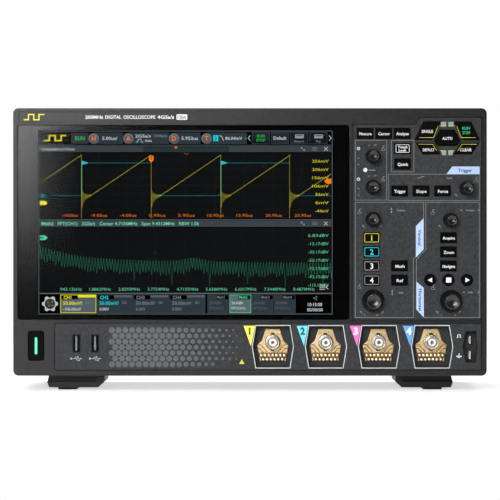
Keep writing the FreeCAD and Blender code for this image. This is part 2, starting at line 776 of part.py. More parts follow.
def bnc_jack(name, x, face, z, way, sheet_thick, body_long):
    # way is -1 for a jack that looks to the front and 1 for one that looks to the back
    turn = (FreeCAD.Vector(1, 0, 0), 90) if way < 0 else to_back
    ahead = lambda text: "%s %s (%s)" % (face, "-" if way < 0 else "+", text)
    long = "10.5"
    shell = fuse("shell_" + name, [
        rod("barrel_" + name, (x, face, z), "barrel", long, turn),
        rod("base_" + name, (x, ahead("-(%s) - 0.2 - (%s)" % (sheet_thick, body_long)), z),
            "barrel + 1.7", body_long, turn),
        rod("neck_" + name, (x, ahead("-(%s) - 0.4" % sheet_thick), z),
            "barrel", "%s + 1" % sheet_thick, turn),
        rod("lugs_" + name, (x, ahead("%s - lug_back + lug_radius" % long), "%s - barrel - lug_reach" % z),
            "lug_radius", "2 * (barrel + lug_reach)", (FreeCAD.Vector(0, 0, 1), 0)),
    ])
    bore = rod("socket_" + name, (x, ahead("1.5"), z), "barrel - barrel_wall", long, turn)
    outer = cut("jack_" + name, shell, bore)
    ring = rod("ring_" + name, (x, ahead("1.5"), z), "insulator", "6.8", turn)
    hole = rod("ring_bore_" + name, (x, ahead("1.4"), z), "contact", "9", turn)
    pin_part = rod("contact_" + name, (x, ahead("1.5"), z), "contact", "5.8", turn)
    return [outer, cut("insulator_" + name, ring, hole), pin_part]


def bnc_jacks():
    pieces = []
    back_long = "%s + main_back - (%s) - 2.4" % (FRONT, FLOOR)
    for k in range(4):
        pieces += bnc_jack("ch%d" % (k + 1), channel_x(k), FLOOR, "bnc_height", -1, "2", back_long)
    for k in range(3):
        face = "(%s - bay_depth)" % REAR
        x = "(-body_width / 2 + bay_left + 18 + %d * 21)" % k
        pieces += bnc_jack("rear%d" % (k + 1), x, face, BAY_Z, 1, "wall", "9")
    group_of("bnc_jacks", pieces)


def usb_ports():
    pieces = []
    for k in range(2):
        x = usb_x(k)
        front = "%s + 0.5" % FRONT
        outer = box("usb_shell_%d" % k, (x + " - usb_w / 2 + 0.1", front, "usb_height - usb_h / 2 + 0.1"),
                    ("usb_w - 0.2", "usb_deep", "usb_h - 0.2"))
        inner = box("usb_room_%d" % k,
                    (x + " - usb_w / 2 + 0.5", front + " - 1", "usb_height - usb_h / 2 + 0.5"),
                    ("usb_w - 1.0", "usb_deep", "usb_h - 1.0"))
        tongue = box("usb_tongue_%d" % k, (x + " - usb_w / 2 + 1.0", front + " + 0.9", "usb_height - 5.5"),
                     ("1.85", "usb_deep - 1.9", "11"))
        pieces += [cut("usb_case_%d" % k, outer, inner), tongue]
    group_of("usb_ports", pieces)


def probe_terminals():
    # two folded metal loops, each with a window for a probe hook
    pieces = []
    x = "(body_width / 2 - probe_inset)"
    for k, z in enumerate(("%s - 6.4" % WINDOW_MID, "%s + 5.2" % WINDOW_MID)):
        plate = box("loop_%d" % k, (x + " - 0.4", "%s + 0.6" % FRONT, z + " - 2.9"),
                    ("0.8", "window_depth - 0.6", "5.8"))
        eye = box("loop_eye_%d" % k, (x + " - 1", "%s + 2.0" % FRONT, z + " - 1.7"), ("2", "3.6", "3.4"))
        pieces.append(cut("probe_loop_%d" % k, plate, eye))
    group_of("probe_terminals", pieces)


# --- rear cover, feet and handle ----------------------------------------------------------

def foot_outline(side, width):
    # the foot's outer edge is foot_out from the side of the case, and it runs width inwards
    edge = "(%s * (body_width / 2 - foot_out))" % side
    steps = (("0.5", "body_bottom + 0.5"), ("-1.0", "lip_height"), ("0.8", "sole"),
             (width + " - 5.1", "sole"), (width + " - 0.5", "lip_height"),
             (width, "body_bottom + 0.5"))
    return [("%s - %s * (%s)" % (edge, side, x), z) for x, z in steps]


def leg_x(side):
    return "(%s * (body_width / 2 - foot_out - pad_w - 9.3 - leg_w / 2))" % side


def rear_cover():
    body = new_body("rear_cover")
    outer = sketch_on(body, "cover_outer", "XZ_Plane", "-%s" % REAR)
    rectangle(outer, "-body_width / 2", "body_width / 2", "body_bottom", "top_height")
    shell = feature("Pad", outer, "%s - %s - seam" % (REAR, SPLIT))
    rounded = fillet(shell, "corner", along_y)
    high = rounded.Shape.BoundBox.YMax
    dress("Chamfer", rounded, "Size", "3.5", lambda edge: edge.BoundBox.YMin > high - 1e-6)
    inner = sketch_on(body, "cover_inner", "XZ_Plane", "-%s - seam" % SPLIT)
    rectangle(inner, "-body_width / 2 + wall", "body_width / 2 - wall",
              "body_bottom + wall", "top_height - wall")
    feature("Pocket", inner, "%s - %s - seam - wall - 2" % (REAR, SPLIT))
    # inner walls of the connector bay and screw tubes
    bay = sketch_on(body, "bay_block", "XZ_Plane", "-%s + wall" % REAR)
    rectangle(bay, BAY_X + " - wall", BAY_X + " + bay_width + wall",
              BAY_LOW + " - wall", BAY_LOW + " + bay_height + wall")
    feature("Pad", bay, "bay_depth")
    tubes = sketch_on(body, "screw_tubes", "XZ_Plane", "-%s + 1" % REAR)
    for x, z in boss_places():
        circle(tubes, x, z, "boss")
    feature("Pad", tubes, "%s - 1 - %s - seam" % (REAR, SPLIT))
    tub = sketch_on(body, "handle_tub", "XY_Plane", "top_height - recess_depth - wall")
    side = "(handle_w / 2 + handle_gap + wall)"
    rectangle(tub, "-" + side, side, HANDLE_Y + " - handle_long - handle_gap - wall",
              HANDLE_Y + " + handle_half + handle_gap + wall")
    feature("Pad", tub, "recess_depth + wall / 2")
    # feet moulded to the floor
    front_feet = sketch_on(body, "front_feet", "XZ_Plane", "-%s - foot_front - foot_deep" % FRONT)
    for side in ("-1", "1"):
        polygon(front_feet, foot_outline(side, "pad_w + leg_w + 13.5"))
    feature("Pad", front_feet, "foot_deep")
    # the upper front of each front foot is set back, which leaves a lip below it
    set_back = sketch_on(body, "foot_lips", "XZ_Plane", "-%s - foot_front" % FRONT)
    for side in ("-1", "1"):
        edge = "%s * (body_width / 2 - foot_out" % side
        ends = (edge + " + 2)", edge + " - pad_w - leg_w - 7.3)")
        left, right = ends if side == "-1" else ends[::-1]
        rectangle(set_back, left, right, "lip_height", "body_bottom")
    feature("Pocket", set_back, "lip_step")
    rear_feet = sketch_on(body, "rear_feet", "XZ_Plane", "-%s + 12" % REAR)
    for side in ("-1", "1"):
        polygon(rear_feet, foot_outline(side, "pad_w + 17"))
    feature("Pad", rear_feet, "18")
    cover_openings(body)


def cover_openings(body):
    wells = sketch_on(body, "screw_wells", "XZ_Plane", "-%s" % REAR)
    holes = sketch_on(body, "screw_holes", "XZ_Plane", "-%s" % REAR)
    for x, z in boss_places():
        circle(wells, x, z, "well")
        circle(holes, x, z, "screw + 0.4")
    feature("Pocket", wells, "%s - %s - seam - 6" % (REAR, SPLIT), True)
    feature("Pocket", holes, "%s - %s" % (REAR, SPLIT), True)
    bay = sketch_on(body, "bay_room", "XZ_Plane", "-%s" % REAR)
    rectangle(bay, BAY_X, BAY_X + " + bay_width", BAY_LOW, BAY_LOW + " + bay_height")
    feature("Pocket", bay, "bay_depth", True)
    sockets = sketch_on(body, "bay_sockets", "XZ_Plane", "-%s" % REAR)
    for k in range(3):
        circle(sockets, "-body_width / 2 + bay_left + 18 + %d * 21" % k, BAY_Z, "barrel + 0.4")
    for x, wide, tall in ((LAN_X, 16.0, 13.5), (HDMI_X, 15.0, 6.0), (USB_B_X, 12.0, 11.0)):
        rectangle(sockets, "%s - %.2f" % (x, wide / 2 + 0.2), "%s + %.2f" % (x, wide / 2 + 0.2),
                  BOARD_Z + " - 0.2", "%s + %.2f" % (BOARD_Z, tall + 0.2))
    feature("Pocket", sockets, "bay_depth + wall + 1", True)
    grille = sketch_on(body, "fan_grille", "XZ_Plane", "-%s" % REAR)
    for k in range(-5, 6):
        x = "%s + %d * slot_pitch" % (FAN_X, k)
        half = "(rotor * %.4f)" % math.sqrt(1 - (k / 5.8) ** 2)
        rectangle(grille, x + " - slot / 2", x + " + slot / 2",
                  "fan_height - " + half, "fan_height + " + half)
    feature("Pocket", grille, "wall + 3", True)
    inlet = sketch_on(body, "inlet_window", "XZ_Plane", "-%s" % REAR)
    rectangle(inlet, INLET_X + " - inlet_w / 2 - 0.3", INLET_X + " + inlet_w / 2 + 0.3",
              "inlet_height - inlet_h / 2 - 0.3", "inlet_height + inlet_h / 2 + 0.3")
    feature("Pocket", inlet, "wall + 3", True)
    # vents through both sides
    vents = sketch_on(body, "side_vents", "YZ_Plane", "body_width / 2 + 1")
    for k in range(12):
        y = "%s + 14 + %d * slot_pitch * 0.8" % (SPLIT, k)
        rectangle(vents, y + " - slot / 2", y + " + slot / 2", "body_bottom + 45", "body_bottom + 105")
    feature("Pocket", vents, "body_width + 2")
    recess = sketch_on(body, "handle_recess", "XY_Plane", "top_height")
    side = "(handle_w / 2 + handle_gap)"
    rectangle(recess, "-" + side, side, HANDLE_Y + " - handle_long - handle_gap",
              HANDLE_Y + " + handle_half + handle_gap")
    feature("Pocket", recess, "recess_depth")
    finger = sketch_on(body, "handle_pivots", "YZ_Plane", "handle_w / 2 + handle_gap + wall + 1")
    circle(finger, HANDLE_Y, HANDLE_Z, "pivot_radius + stub_fit")
    feature("Pocket", finger, "handle_w + 2 * handle_gap + 2 * wall + 2")
    rooms = sketch_on(body, "leg_rooms", "XY_Plane", "sole - 1")
    for side in ("-1", "1"):
        x = leg_x(side)
        rectangle(rooms, x + " - leg_w / 2 - leg_gap", x + " + leg_w / 2 + leg_gap",
                  LEG_Y + " - leg_half - leg_gap", LEG_Y + " + leg_long - leg_half + leg_gap")
    feature("Pocket", rooms, "pivot_height + leg_half + 0.8 - sole + 1", True)
    for name, side in (("left", "-1"), ("right", "1")):
        axle = sketch_on(body, "leg_pivot_" + name, "YZ_Plane", leg_x(side) + " + leg_w / 2 + leg_gap + 2.2")
        circle(axle, LEG_Y, "pivot_height", "stub + stub_fit")
        feature("Pocket", axle, "leg_w + 2 * leg_gap + 4.4")


def leg(name, side):
    body = new_body("foot_leg_" + name)
    place(body, leg_x(side), LEG_Y, "pivot_height")
    bar = sketch_on(body, name + "_leg_bar", "YZ_Plane", "-leg_w / 2")
    rectangle(bar, "0", "leg_long - leg_half", "-leg_half", "leg_half")
    long_part = feature("Pad", bar, "leg_w")
    fillet(long_part, "1.6", lambda edge: edge.BoundBox.YMin > 1 and edge.BoundBox.XLength > 1)
    eye = sketch_on(body, name + "_leg_eye", "YZ_Plane", "-leg_w / 2")
    circle(eye, "0", "0", "leg_half")
    feature("Pad", eye, "leg_w")
    stub = sketch_on(body, name + "_leg_stub", "YZ_Plane", "-leg_w / 2 - leg_gap - 2")
    circle(stub, "0", "0", "stub")
    feature("Pad", stub, "leg_w + 2 * leg_gap + 4")


def handle():
    body = new_body("carry_handle")
    place(body, "0", HANDLE_Y, HANDLE_Z)
    frame = sketch_on(body, "handle_frame", "XY_Plane", "-handle_half")
    rectangle(frame, "-handle_w / 2", "handle_w / 2", "-handle_long", "0")
    plate = feature("Pad", frame, "2 * handle_half")
    ends = fillet(plate, "7", lambda edge: edge.BoundBox.ZLength > 1 and edge.BoundBox.YMax < -1)
    eyes = sketch_on(body, "handle_eyes", "YZ_Plane", "-handle_w / 2")
    circle(eyes, "0", "0", "handle_half")
    feature("Pad", eyes, "handle_w")
    gap = sketch_on(body, "handle_room", "XY_Plane", "handle_half")
    rectangle(gap, "-handle_w / 2 + handle_arm", "handle_w / 2 - handle_arm",
              "-handle_long + handle_grip", "handle_half + 1")
    feature("Pocket", gap, "2 * handle_half")
    for name, start in (("left", "-handle_w / 2 - handle_gap - 2"), ("right", "handle_w / 2 - 1")):
        stub = sketch_on(body, "handle_stub_" + name, "YZ_Plane", start)
        circle(stub, "0", "0", "pivot_radius")
        feature("Pad", stub, "handle_gap + 3")


def rubber_feet():
    # a pad under each foot, standing on the table
    pieces = []
    for name, side in (("left", "-1"), ("right", "1")):
        middle = "(%s * (body_width / 2 - foot_out - 7.4 - pad_w / 2))" % side
        front = "%s + foot_front + 3" % FRONT
        pieces.append(box("front_pad_" + name, (middle + " - pad_w / 2", front, "0"),
                          ("pad_w", "20", "sole")))
        pieces.append(box("rear_pad_" + name, (middle + " - pad_w / 2", "%s - 27" % REAR, "0"),
                          ("pad_w", "12", "sole")))
    group_of("rubber_feet", pieces)


# --- inside -------------------------------------------------------------------------------

def main_board():
    y = "%s + main_back" % FRONT
    pcb = box("acquisition_pcb", ("-body_width / 2 + 22", y, "body_bottom + 6"),
              ("body_width - 44", "board_plate", "top_height - body_bottom - recess_depth - 12"))
    pieces = [pcb]
    chip_y = y + " + board_plate"
    for k in range(4):
        x = channel_x(k)
        pieces.append(box("shield_%d" % k, (x + " - 14", chip_y, "58"), ("28", "6", "34")))
    pieces.append(box("processor", ("-60", chip_y, "100"), ("35", "3", "35")))
    pieces.append(box("converter", ("0", chip_y, "110"), ("27", "3", "27")))
    for k in range(4):
        pieces.append(box("memory_%d" % k, ("%d * 16 - 70" % k, chip_y, "145"), ("11", "1.2", "14")))
    # board for the rear connectors
    board_y = "%s - bay_depth - wall - 35" % REAR
    pieces.append(box("connector_pcb", (BAY_X + " + 2", board_y, BOARD_Z + " - board_plate"),
                      ("bay_width - 4", "34.5", "board_plate")))
    face = "%s - bay_depth + 0.6" % REAR
    lan = box("lan_case", (LAN_X + " - 8", face + " - 21", BOARD_Z), ("16", "21", "13.5"))
    lan_room = box("lan_room", (LAN_X + " - 5.9", face + " - 12", BOARD_Z + " + 2.4"), ("11.8", "13", "8.4"))
    pieces.append(cut("lan_socket", lan, lan_room))
    hdmi = box("hdmi_case", (HDMI_X + " - 7.5", face + " - 12", BOARD_Z), ("15", "12", "6"))
    hdmi_room = box("hdmi_room", (HDMI_X + " - 7", face + " - 9", BOARD_Z + " + 0.6"), ("14", "10", "4.6"))
    pieces.append(cut("hdmi_socket", hdmi, hdmi_room))
    tongue_low = (HDMI_X + " - 5.5", face + " - 9.5", BOARD_Z + " + 2.6")
    pieces.append(box("hdmi_tongue", tongue_low, ("11", "8", "0.9")))
    usb = box("usb_b_case", (USB_B_X + " - 6", face + " - 16", BOARD_Z), ("12", "16", "11"))
    room_low = (USB_B_X + " - 4.3", face + " - 10", BOARD_Z + " + 1.5")
    usb_room = box("usb_b_room", room_low, ("8.6", "11", "7.9"))
    pieces.append(cut("usb_b_socket", usb, usb_room))
    block_low = (USB_B_X + " - 2.8", face + " - 10.5", BOARD_Z + " + 3.9")
    pieces.append(box("usb_b_block", block_low, ("5.6", "9.3", "3.2")))
    group_of("main_board", pieces)


def power_supply():
    y = "%s + main_back + board_plate + 8" % FRONT
    low = "inlet_height - inlet_h / 2 - 8"
    cage = box("supply_cage", (INLET_X + " - 62", y, low), ("124", "34", "84"))
    pieces = [cage]
    flange = "%s - flange_lip" % REAR
    start = "(%s - inlet_deep)" % flange
    x = INLET_X
    outer = box("inlet_case", (x + " - inlet_w / 2", start, "inlet_height - inlet_h / 2"),
                ("inlet_w", "inlet_deep", "inlet_h"))
    room = box("inlet_room", (x + " - 12.1", start + " + 3.5", "inlet_height - 8.0"),
               ("24.2", "inlet_deep", "16.0"))
    pieces.append(cut("inlet_socket", outer, room))
    for k, (dx, dz) in enumerate(((-7.0, -2.0), (0.0, 2.0), (7.0, -2.0))):
        pin_low = (x + " + %s - 1" % dx, start + " + 3.5", "inlet_height + %s - 2" % dz)
        pieces.append(box("inlet_pin_%d" % k, pin_low, ("2", "inlet_deep - 6", "4")))
    group_of("power_supply", pieces)


def fan_frame():
    back = "%s - wall - 2 - 0.4" % REAR
    half = "fan_size / 2"
    frame = box("fan_box", ("%s - %s" % (FAN_X, half), "%s - fan_depth" % back, "fan_height - " + half),
                ("fan_size", "fan_depth", "fan_size"))
    bore = rod("fan_bore", (FAN_X, "%s - fan_depth - 1" % back, "fan_height"),
               "rotor + fan_gap", "fan_depth + 2")
    ring = cut("fan_ring", frame, bore)
    # four struts hold the bearing post in the middle
    wide = "2 * (rotor + fan_gap) + 2"
    struts = [
        box("strut_flat", ("%s - rotor - fan_gap - 1" % FAN_X, "%s - 2" % back, "fan_height - 2"),
            (wide, "2", "4")),
        box("strut_up", ("%s - 2" % FAN_X, "%s - 2" % back, "fan_height - rotor - fan_gap - 1"),
            ("4", "2", wide)),
        rod("strut_hub", (FAN_X, "%s - 2" % back, "fan_height"), "16", "2"),
        rod("fan_axle", (FAN_X, "%s - fan_depth + 3" % back, "fan_height"), "2", "fan_depth - 4"),
    ]
    subpart(fuse("fan_frame", [ring] + struts), "fan_frame")


def fan_rotor():
    front = "(%s - wall - 2 - 0.4 - fan_depth + 2)" % REAR
    hub = rod("rotor_hub", (FAN_X, front, "fan_height"), "15", "fan_depth - 5")
    blades = []
    for k in range(7):
        turn = FreeCAD.Rotation(FreeCAD.Vector(0, 1, 0), k * 360 / 7)
        turn = turn.multiply(FreeCAD.Rotation(FreeCAD.Vector(1, 0, 0), 38))
        root = turn.multVec(FreeCAD.Vector(12, -0.8, -6.5))
        blade = box("blade_%d" % k, ("0", "0", "0"), ("rotor - 13", "1.6", "13"))
        place(blade, "%s + (%.4f)" % (FAN_X, root.x), "%s + fan_depth / 2 - 2.5 + (%.4f)" % (front, root.y),
              "fan_height + (%.4f)" % root.z, turn.Q)
        blades.append(blade)
    whole = fuse("rotor_solid", [hub] + blades)
    bore = rod("rotor_bore", (FAN_X, front + " - 1", "fan_height"), "2 + shaft_fit", "fan_depth")
    subpart(cut("fan_rotor", whole, bore), "fan_rotor")


def screws():
    # long screws in the four tubes of the cover, threaded into the bezel
    pieces = []
    seat = "%s + seam + 6" % SPLIT
    for k, (x, z) in enumerate(boss_places()):
        head = rod("head_%d" % k, (x, seat, z), "head", "3")
        shank = rod("shank_%d" % k, (x, "%s - 12.5" % seat, z), "screw", "13")
        cross = box("cross_a_%d" % k, (x + " - 2", seat + " + 1.8", z + " - 0.4"), ("4", "2", "0.8"))
        bar = box("cross_b_%d" % k, (x + " - 0.4", seat + " + 1.8", z + " - 2"), ("0.8", "2", "4"))
        solid = fuse("screw_solid_%d" % k, [head, shank])
        pieces.append(cut("screw_%d" % k, solid, fuse("cross_%d" % k, [cross, bar])))
    group_of("screws", pieces)


front_bezel()
screen_glass()
lcd_panel()
control_panel()
all_keys()
power_button()
all_knobs()
control_board()
input_panel()
ground_plates()
bnc_jacks()
usb_ports()
probe_terminals()
rear_cover()
leg("left", "-1")
leg("right", "1")
handle()
rubber_feet()
main_board()
power_supply()
fan_frame()
fan_rotor()
screws()
doc.recompute()

for item in doc.Objects:
    if "Invalid" in item.State or "Error" in item.State:
        raise RuntimeError("%s did not compute: %s" % (item.Label, item.State))
os.makedirs("parts", exist_ok=True)
for item in subparts:
    if item.Shape.isNull() or not item.Shape.isValid() or not item.Shape.Solids:
        raise RuntimeError("%s has no valid solid" % item.Label)
    item.Shape.exportStep("parts/%s.step" % item.Label)
print("%d sub-parts written" % len(subparts))
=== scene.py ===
import math
import bpy
import mathutils
import numpy as np
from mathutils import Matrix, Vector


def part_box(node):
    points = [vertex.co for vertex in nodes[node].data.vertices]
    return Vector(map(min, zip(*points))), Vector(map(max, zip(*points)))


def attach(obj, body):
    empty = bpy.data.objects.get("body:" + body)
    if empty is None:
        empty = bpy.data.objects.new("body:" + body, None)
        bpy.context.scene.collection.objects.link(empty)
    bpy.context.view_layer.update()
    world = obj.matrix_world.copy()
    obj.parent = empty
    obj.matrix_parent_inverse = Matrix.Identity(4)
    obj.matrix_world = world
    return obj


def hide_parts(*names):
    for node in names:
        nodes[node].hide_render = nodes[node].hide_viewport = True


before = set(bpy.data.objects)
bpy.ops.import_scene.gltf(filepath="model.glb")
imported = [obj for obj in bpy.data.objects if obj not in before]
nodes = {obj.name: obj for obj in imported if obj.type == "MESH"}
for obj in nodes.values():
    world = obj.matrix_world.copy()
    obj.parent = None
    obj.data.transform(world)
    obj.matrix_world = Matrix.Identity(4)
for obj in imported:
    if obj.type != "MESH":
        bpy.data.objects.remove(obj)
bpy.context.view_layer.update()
mm = 0.001
print("frame loaded:", len(nodes), "nodes")

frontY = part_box("control_panel")[0].y / mm  # the face of the panels, in mm
glassLow, glassHigh = [np.array(c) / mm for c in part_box("screen_glass")]
panelX, panelZ = glassHigh[0] + 3.0, glassLow[2]  # lower left corner of the control panel


def centre(node):
    low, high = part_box(node)
    return np.array(low + high) / 2 / mm


# camera and light

camera = {"distance": 1.35, "height": 0.1075, "lens": 128.6}

cameraData = bpy.data.cameras.new("camera")
cameraData.lens = camera["lens"]
cameraData.clip_end = 50
cameraObject = bpy.data.objects.new("camera", cameraData)
cameraObject.location = (0, frontY * mm - camera["distance"], camera["height"])
cameraObject.rotation_euler = (math.pi / 2, 0, 0)
bpy.context.scene.collection.objects.link(cameraObject)
bpy.context.scene.camera = cameraObject
bpy.context.scene.view_settings.view_transform = "Standard"


def linear(red, green, blue):
    c = np.array([red, green, blue]) / 255.0
    c = np.where(c <= 0.04045, c / 12.92, ((c + 0.055) / 1.055) ** 2.4)
    return (float(c[0]), float(c[1]), float(c[2]), 1.0)


# materials


def newMaterial(name):
    material = bpy.data.materials.new(name)
    material.use_nodes = True
    return material, material.node_tree, material.node_tree.nodes["Principled BSDF"]


def node(tree, kind, **inputs):
    made = tree.nodes.new("ShaderNode" + kind)
    for name, value in inputs.items():
        made.inputs[name.replace("_", " ")].default_value = value
    return made


def noiseOf(tree, scale, detail=3.0, stretch=None):
    # noise on Object coordinates, in metres, stretched along an axis where the finish has a direction
    place = tree.nodes.new("ShaderNodeTexCoord")
    noise = node(tree, "TexNoise", Scale=scale, Detail=detail)
    if stretch:
        mapping = node(tree, "Mapping", Scale=stretch)
        tree.links.new(place.outputs["Object"], mapping.inputs["Vector"])
        tree.links.new(mapping.outputs["Vector"], noise.inputs["Vector"])
    else:
        tree.links.new(place.outputs["Object"], noise.inputs["Vector"])
    return noise.outputs["Fac"]


def blendColours(tree, factor, first, second):
    mix = tree.nodes.new("ShaderNodeMix")
    mix.data_type = "RGBA"
    tree.links.new(factor, mix.inputs["Factor"])
    for index, colour in ((6, first), (7, second)):
        if isinstance(colour, tuple):
            mix.inputs[index].default_value = colour
        else:
            tree.links.new(colour, mix.inputs[index])
    return mix.outputs[2]


def spread(tree, factor, low, high):
    ramp = node(tree, "MapRange", To_Min=low, To_Max=high, From_Min=0.3, From_Max=0.7)
    tree.links.new(factor, ramp.inputs["Value"])
    return ramp.outputs["Result"]


def bump(tree, shader, height, strength, distance):
    made = node(tree, "Bump", Strength=strength, Distance=distance)
    tree.links.new(height, made.inputs["Height"])
    tree.links.new(made.outputs["Normal"], shader.inputs["Normal"])


def attribute(tree, name):
    made = tree.nodes.new("ShaderNodeAttribute")
    made.attribute_name = name
    return made


def objectPlace(tree):
    # Object coordinates, in metres, as separate X, Y and Z outputs
    place = tree.nodes.new("ShaderNodeTexCoord")
    parts = tree.nodes.new("ShaderNodeSeparateXYZ")
    tree.links.new(place.outputs["Object"], parts.inputs["Vector"])
    return parts.outputs


def moulded(name, colour, rough=0.5, grain=1600.0, drift=0.12, relief=0.25, gloss=0.5):
    # moulded plastic: a slow drift of tone, and a fine spark-eroded grain in height and roughness
    material, tree, shader = newMaterial(name)
    base = np.array(linear(*colour)[:3])
    dark, light = (tuple(float(v) for v in base * change) + (1.0,) for change in (1 - drift, 1.25 + drift))
    slow = noiseOf(tree, 22.0)
    fine = noiseOf(tree, grain, 2.0)
    tone = blendColours(tree, slow, dark, light)
    speck = blendColours(tree, spread(tree, noiseOf(tree, 520.0, 1.0), 0.0, 0.45), tone, (0, 0, 0, 1))
    tree.links.new(speck, shader.inputs["Base Color"])
    tree.links.new(spread(tree, fine, rough - 0.06, rough + 0.08), shader.inputs["Roughness"])
    bump(tree, shader, fine, relief, 0.00004)
    shader.inputs["Specular IOR Level"].default_value = gloss
    return material


footTop = 0.0124  # height of the case's underside over the floor, in metres
boardBack = 0.030  # how far back the sockets of the main board start, in metres


def coverMaterial():
    # textured grey cover; its feet, below the underside of the case, are black
    material, tree, shader = newMaterial("coverGrey")
    body = node(tree, "MapRange", From_Min=footTop - 0.0001, From_Max=footTop)
    tree.links.new(objectPlace(tree)["Z"], body.inputs["Value"])
    slow = noiseOf(tree, 22.0)
    fine = noiseOf(tree, 1100.0, 2.0)
    feet = blendColours(tree, slow, linear(7, 7, 8), linear(16, 16, 17))
    grey = blendColours(tree, slow, linear(34, 35, 37), linear(48, 49, 52))
    tree.links.new(blendColours(tree, body.outputs["Result"], feet, grey), shader.inputs["Base Color"])
    tree.links.new(spread(tree, body.outputs["Result"], 0.42, 0.46), shader.inputs["Roughness"])
    bump(tree, shader, fine, 0.4, 0.00004)
    shader.inputs["Specular IOR Level"].default_value = 0.25
    return material


def metal(name, colour, rough=0.25, stretch=(1, 1, 1), relief=0.15, stain=(60, 50, 40)):
    # metal: brushed or cast streaks, with a little stain that drifts over it
    material, tree, shader = newMaterial(name)
    slow = noiseOf(tree, 90.0, 4.0)
    fine = noiseOf(tree, 900.0, 2.0, stretch)
    amount = spread(tree, slow, 0.0, 0.25)
    tree.links.new(blendColours(tree, amount, linear(*colour), linear(*stain)), shader.inputs["Base Color"])
    tree.links.new(spread(tree, fine, rough * 0.7, rough * 1.4), shader.inputs["Roughness"])
    bump(tree, shader, fine, relief, 0.00002)
    shader.inputs["Metallic"].default_value = 1.0
    return material


def goldMaterial():
    # champagne plating on a cast plate; each point's groove value darkens it with painted shade in the grooves and
    # round the teeth, and its tooth value brightens it with a painted highlight on each tooth top
    material, tree, shader = newMaterial("platedGold")
    slow = noiseOf(tree, 70.0, 3.0)
    fine = noiseOf(tree, 900.0, 2.0)
    tarnish, shine = attribute(tree, "tarnish"), attribute(tree, "shine")
    flat = blendColours(tree, slow, linear(196, 166, 116), linear(218, 192, 146))
    # painted highlight: the tooth tops are brightened towards pale cream
    body = blendColours(tree, shine.outputs["Fac"], flat, linear(255, 236, 200))
    # painted shade: the grooves and the hollows round the teeth are darkened towards dark brown
    tree.links.new(blendColours(tree, tarnish.outputs["Fac"], body, linear(34, 26, 18)), shader.inputs["Base Color"])
    tree.links.new(spread(tree, fine, 0.26, 0.4), shader.inputs["Roughness"])
    bump(tree, shader, fine, 0.08, 0.00002)
    shader.inputs["Metallic"].default_value = 0.85
    return material


def boardMaterial():
    # green solder resist, uneven in tone; the sockets at the back of the board are plated metal
    material, tree, shader = newMaterial("solderResist")
    behind = node(tree, "MapRange", From_Min=boardBack, From_Max=boardBack + 0.0001)
    tree.links.new(objectPlace(tree)["Y"], behind.inputs["Value"])
    slow = noiseOf(tree, 160.0, 4.0)
    fine = noiseOf(tree, 700.0, 2.0)
    resist = blendColours(tree, slow, linear(12, 48, 28), linear(32, 92, 56))
    plated = blendColours(tree, slow, linear(120, 121, 122), linear(176, 177, 178))
    tree.links.new(blendColours(tree, behind.outputs["Result"], resist, plated), shader.inputs["Base Color"])
    tree.links.new(behind.outputs["Result"], shader.inputs["Metallic"])
    tree.links.new(spread(tree, fine, 0.28, 0.4), shader.inputs["Roughness"])
    bump(tree, shader, fine, 0.4, 0.00004)
    return material


def inkMaterial(name, glow=0.0):
    # printing ink: the colour of each mark, a little uneven in tone and thickness
    material, tree, shader = newMaterial(name)
    colour = attribute(tree, "ink").outputs["Color"]
    patch = noiseOf(tree, 1400.0, 2.0)
    wearAndGlint = node(tree, "HueSaturation", Value=0.86)
    tree.links.new(colour, wearAndGlint.inputs["Color"])
    uneven = blendColours(tree, spread(tree, patch, 0.0, 1.0), colour, wearAndGlint.outputs["Color"])
    tree.links.new(uneven, shader.inputs["Base Color"])
    tree.links.new(spread(tree, patch, 0.4, 0.55), shader.inputs["Roughness"])
    bump(tree, shader, patch, 0.1, 0.00001)
    shader.inputs["Specular IOR Level"].default_value = 0.2
    if glow:
        tree.links.new(uneven, shader.inputs["Emission Color"])
        shader.inputs["Emission Strength"].default_value = glow
    return material


def screenMaterial():
    # the lit picture: each mark's colour, with the faint unevenness of a backlight
    material, tree, shader = newMaterial("litDisplay")
    colour = attribute(tree, "ink").outputs["Color"]
    patch = noiseOf(tree, 14.0, 1.0)
    dim = node(tree, "HueSaturation", Value=0.93)
    tree.links.new(colour, dim.inputs["Color"])
    tree.links.new(blendColours(tree, patch, colour, dim.outputs["Color"]), shader.inputs["Emission Color"])
    shader.inputs["Emission Strength"].default_value = 1.0
    shader.inputs["Base Color"].default_value = (0.001, 0.001, 0.001, 1)
    shader.inputs["Specular IOR Level"].default_value = 0.0
    tree.links.new(spread(tree, patch, 0.8, 0.9), shader.inputs["Roughness"])
    return material


def glassMaterial():
    # clear cover glass, coated against glare, with a trace of handling marks in its gloss
    material, tree, shader = newMaterial("coverGlass")
    marks = noiseOf(tree, 35.0, 5.0)
    tree.links.new(spread(tree, marks, 0.0, 0.015), shader.inputs["Roughness"])
    tree.links.new(blendColours(tree, marks, (0.95, 0.97, 0.98, 1), (1, 1, 1, 1)), shader.inputs["Base Color"])
    shader.inputs["Transmission Weight"].default_value = 1.0
    shader.inputs["IOR"].default_value = 1.1
    return material


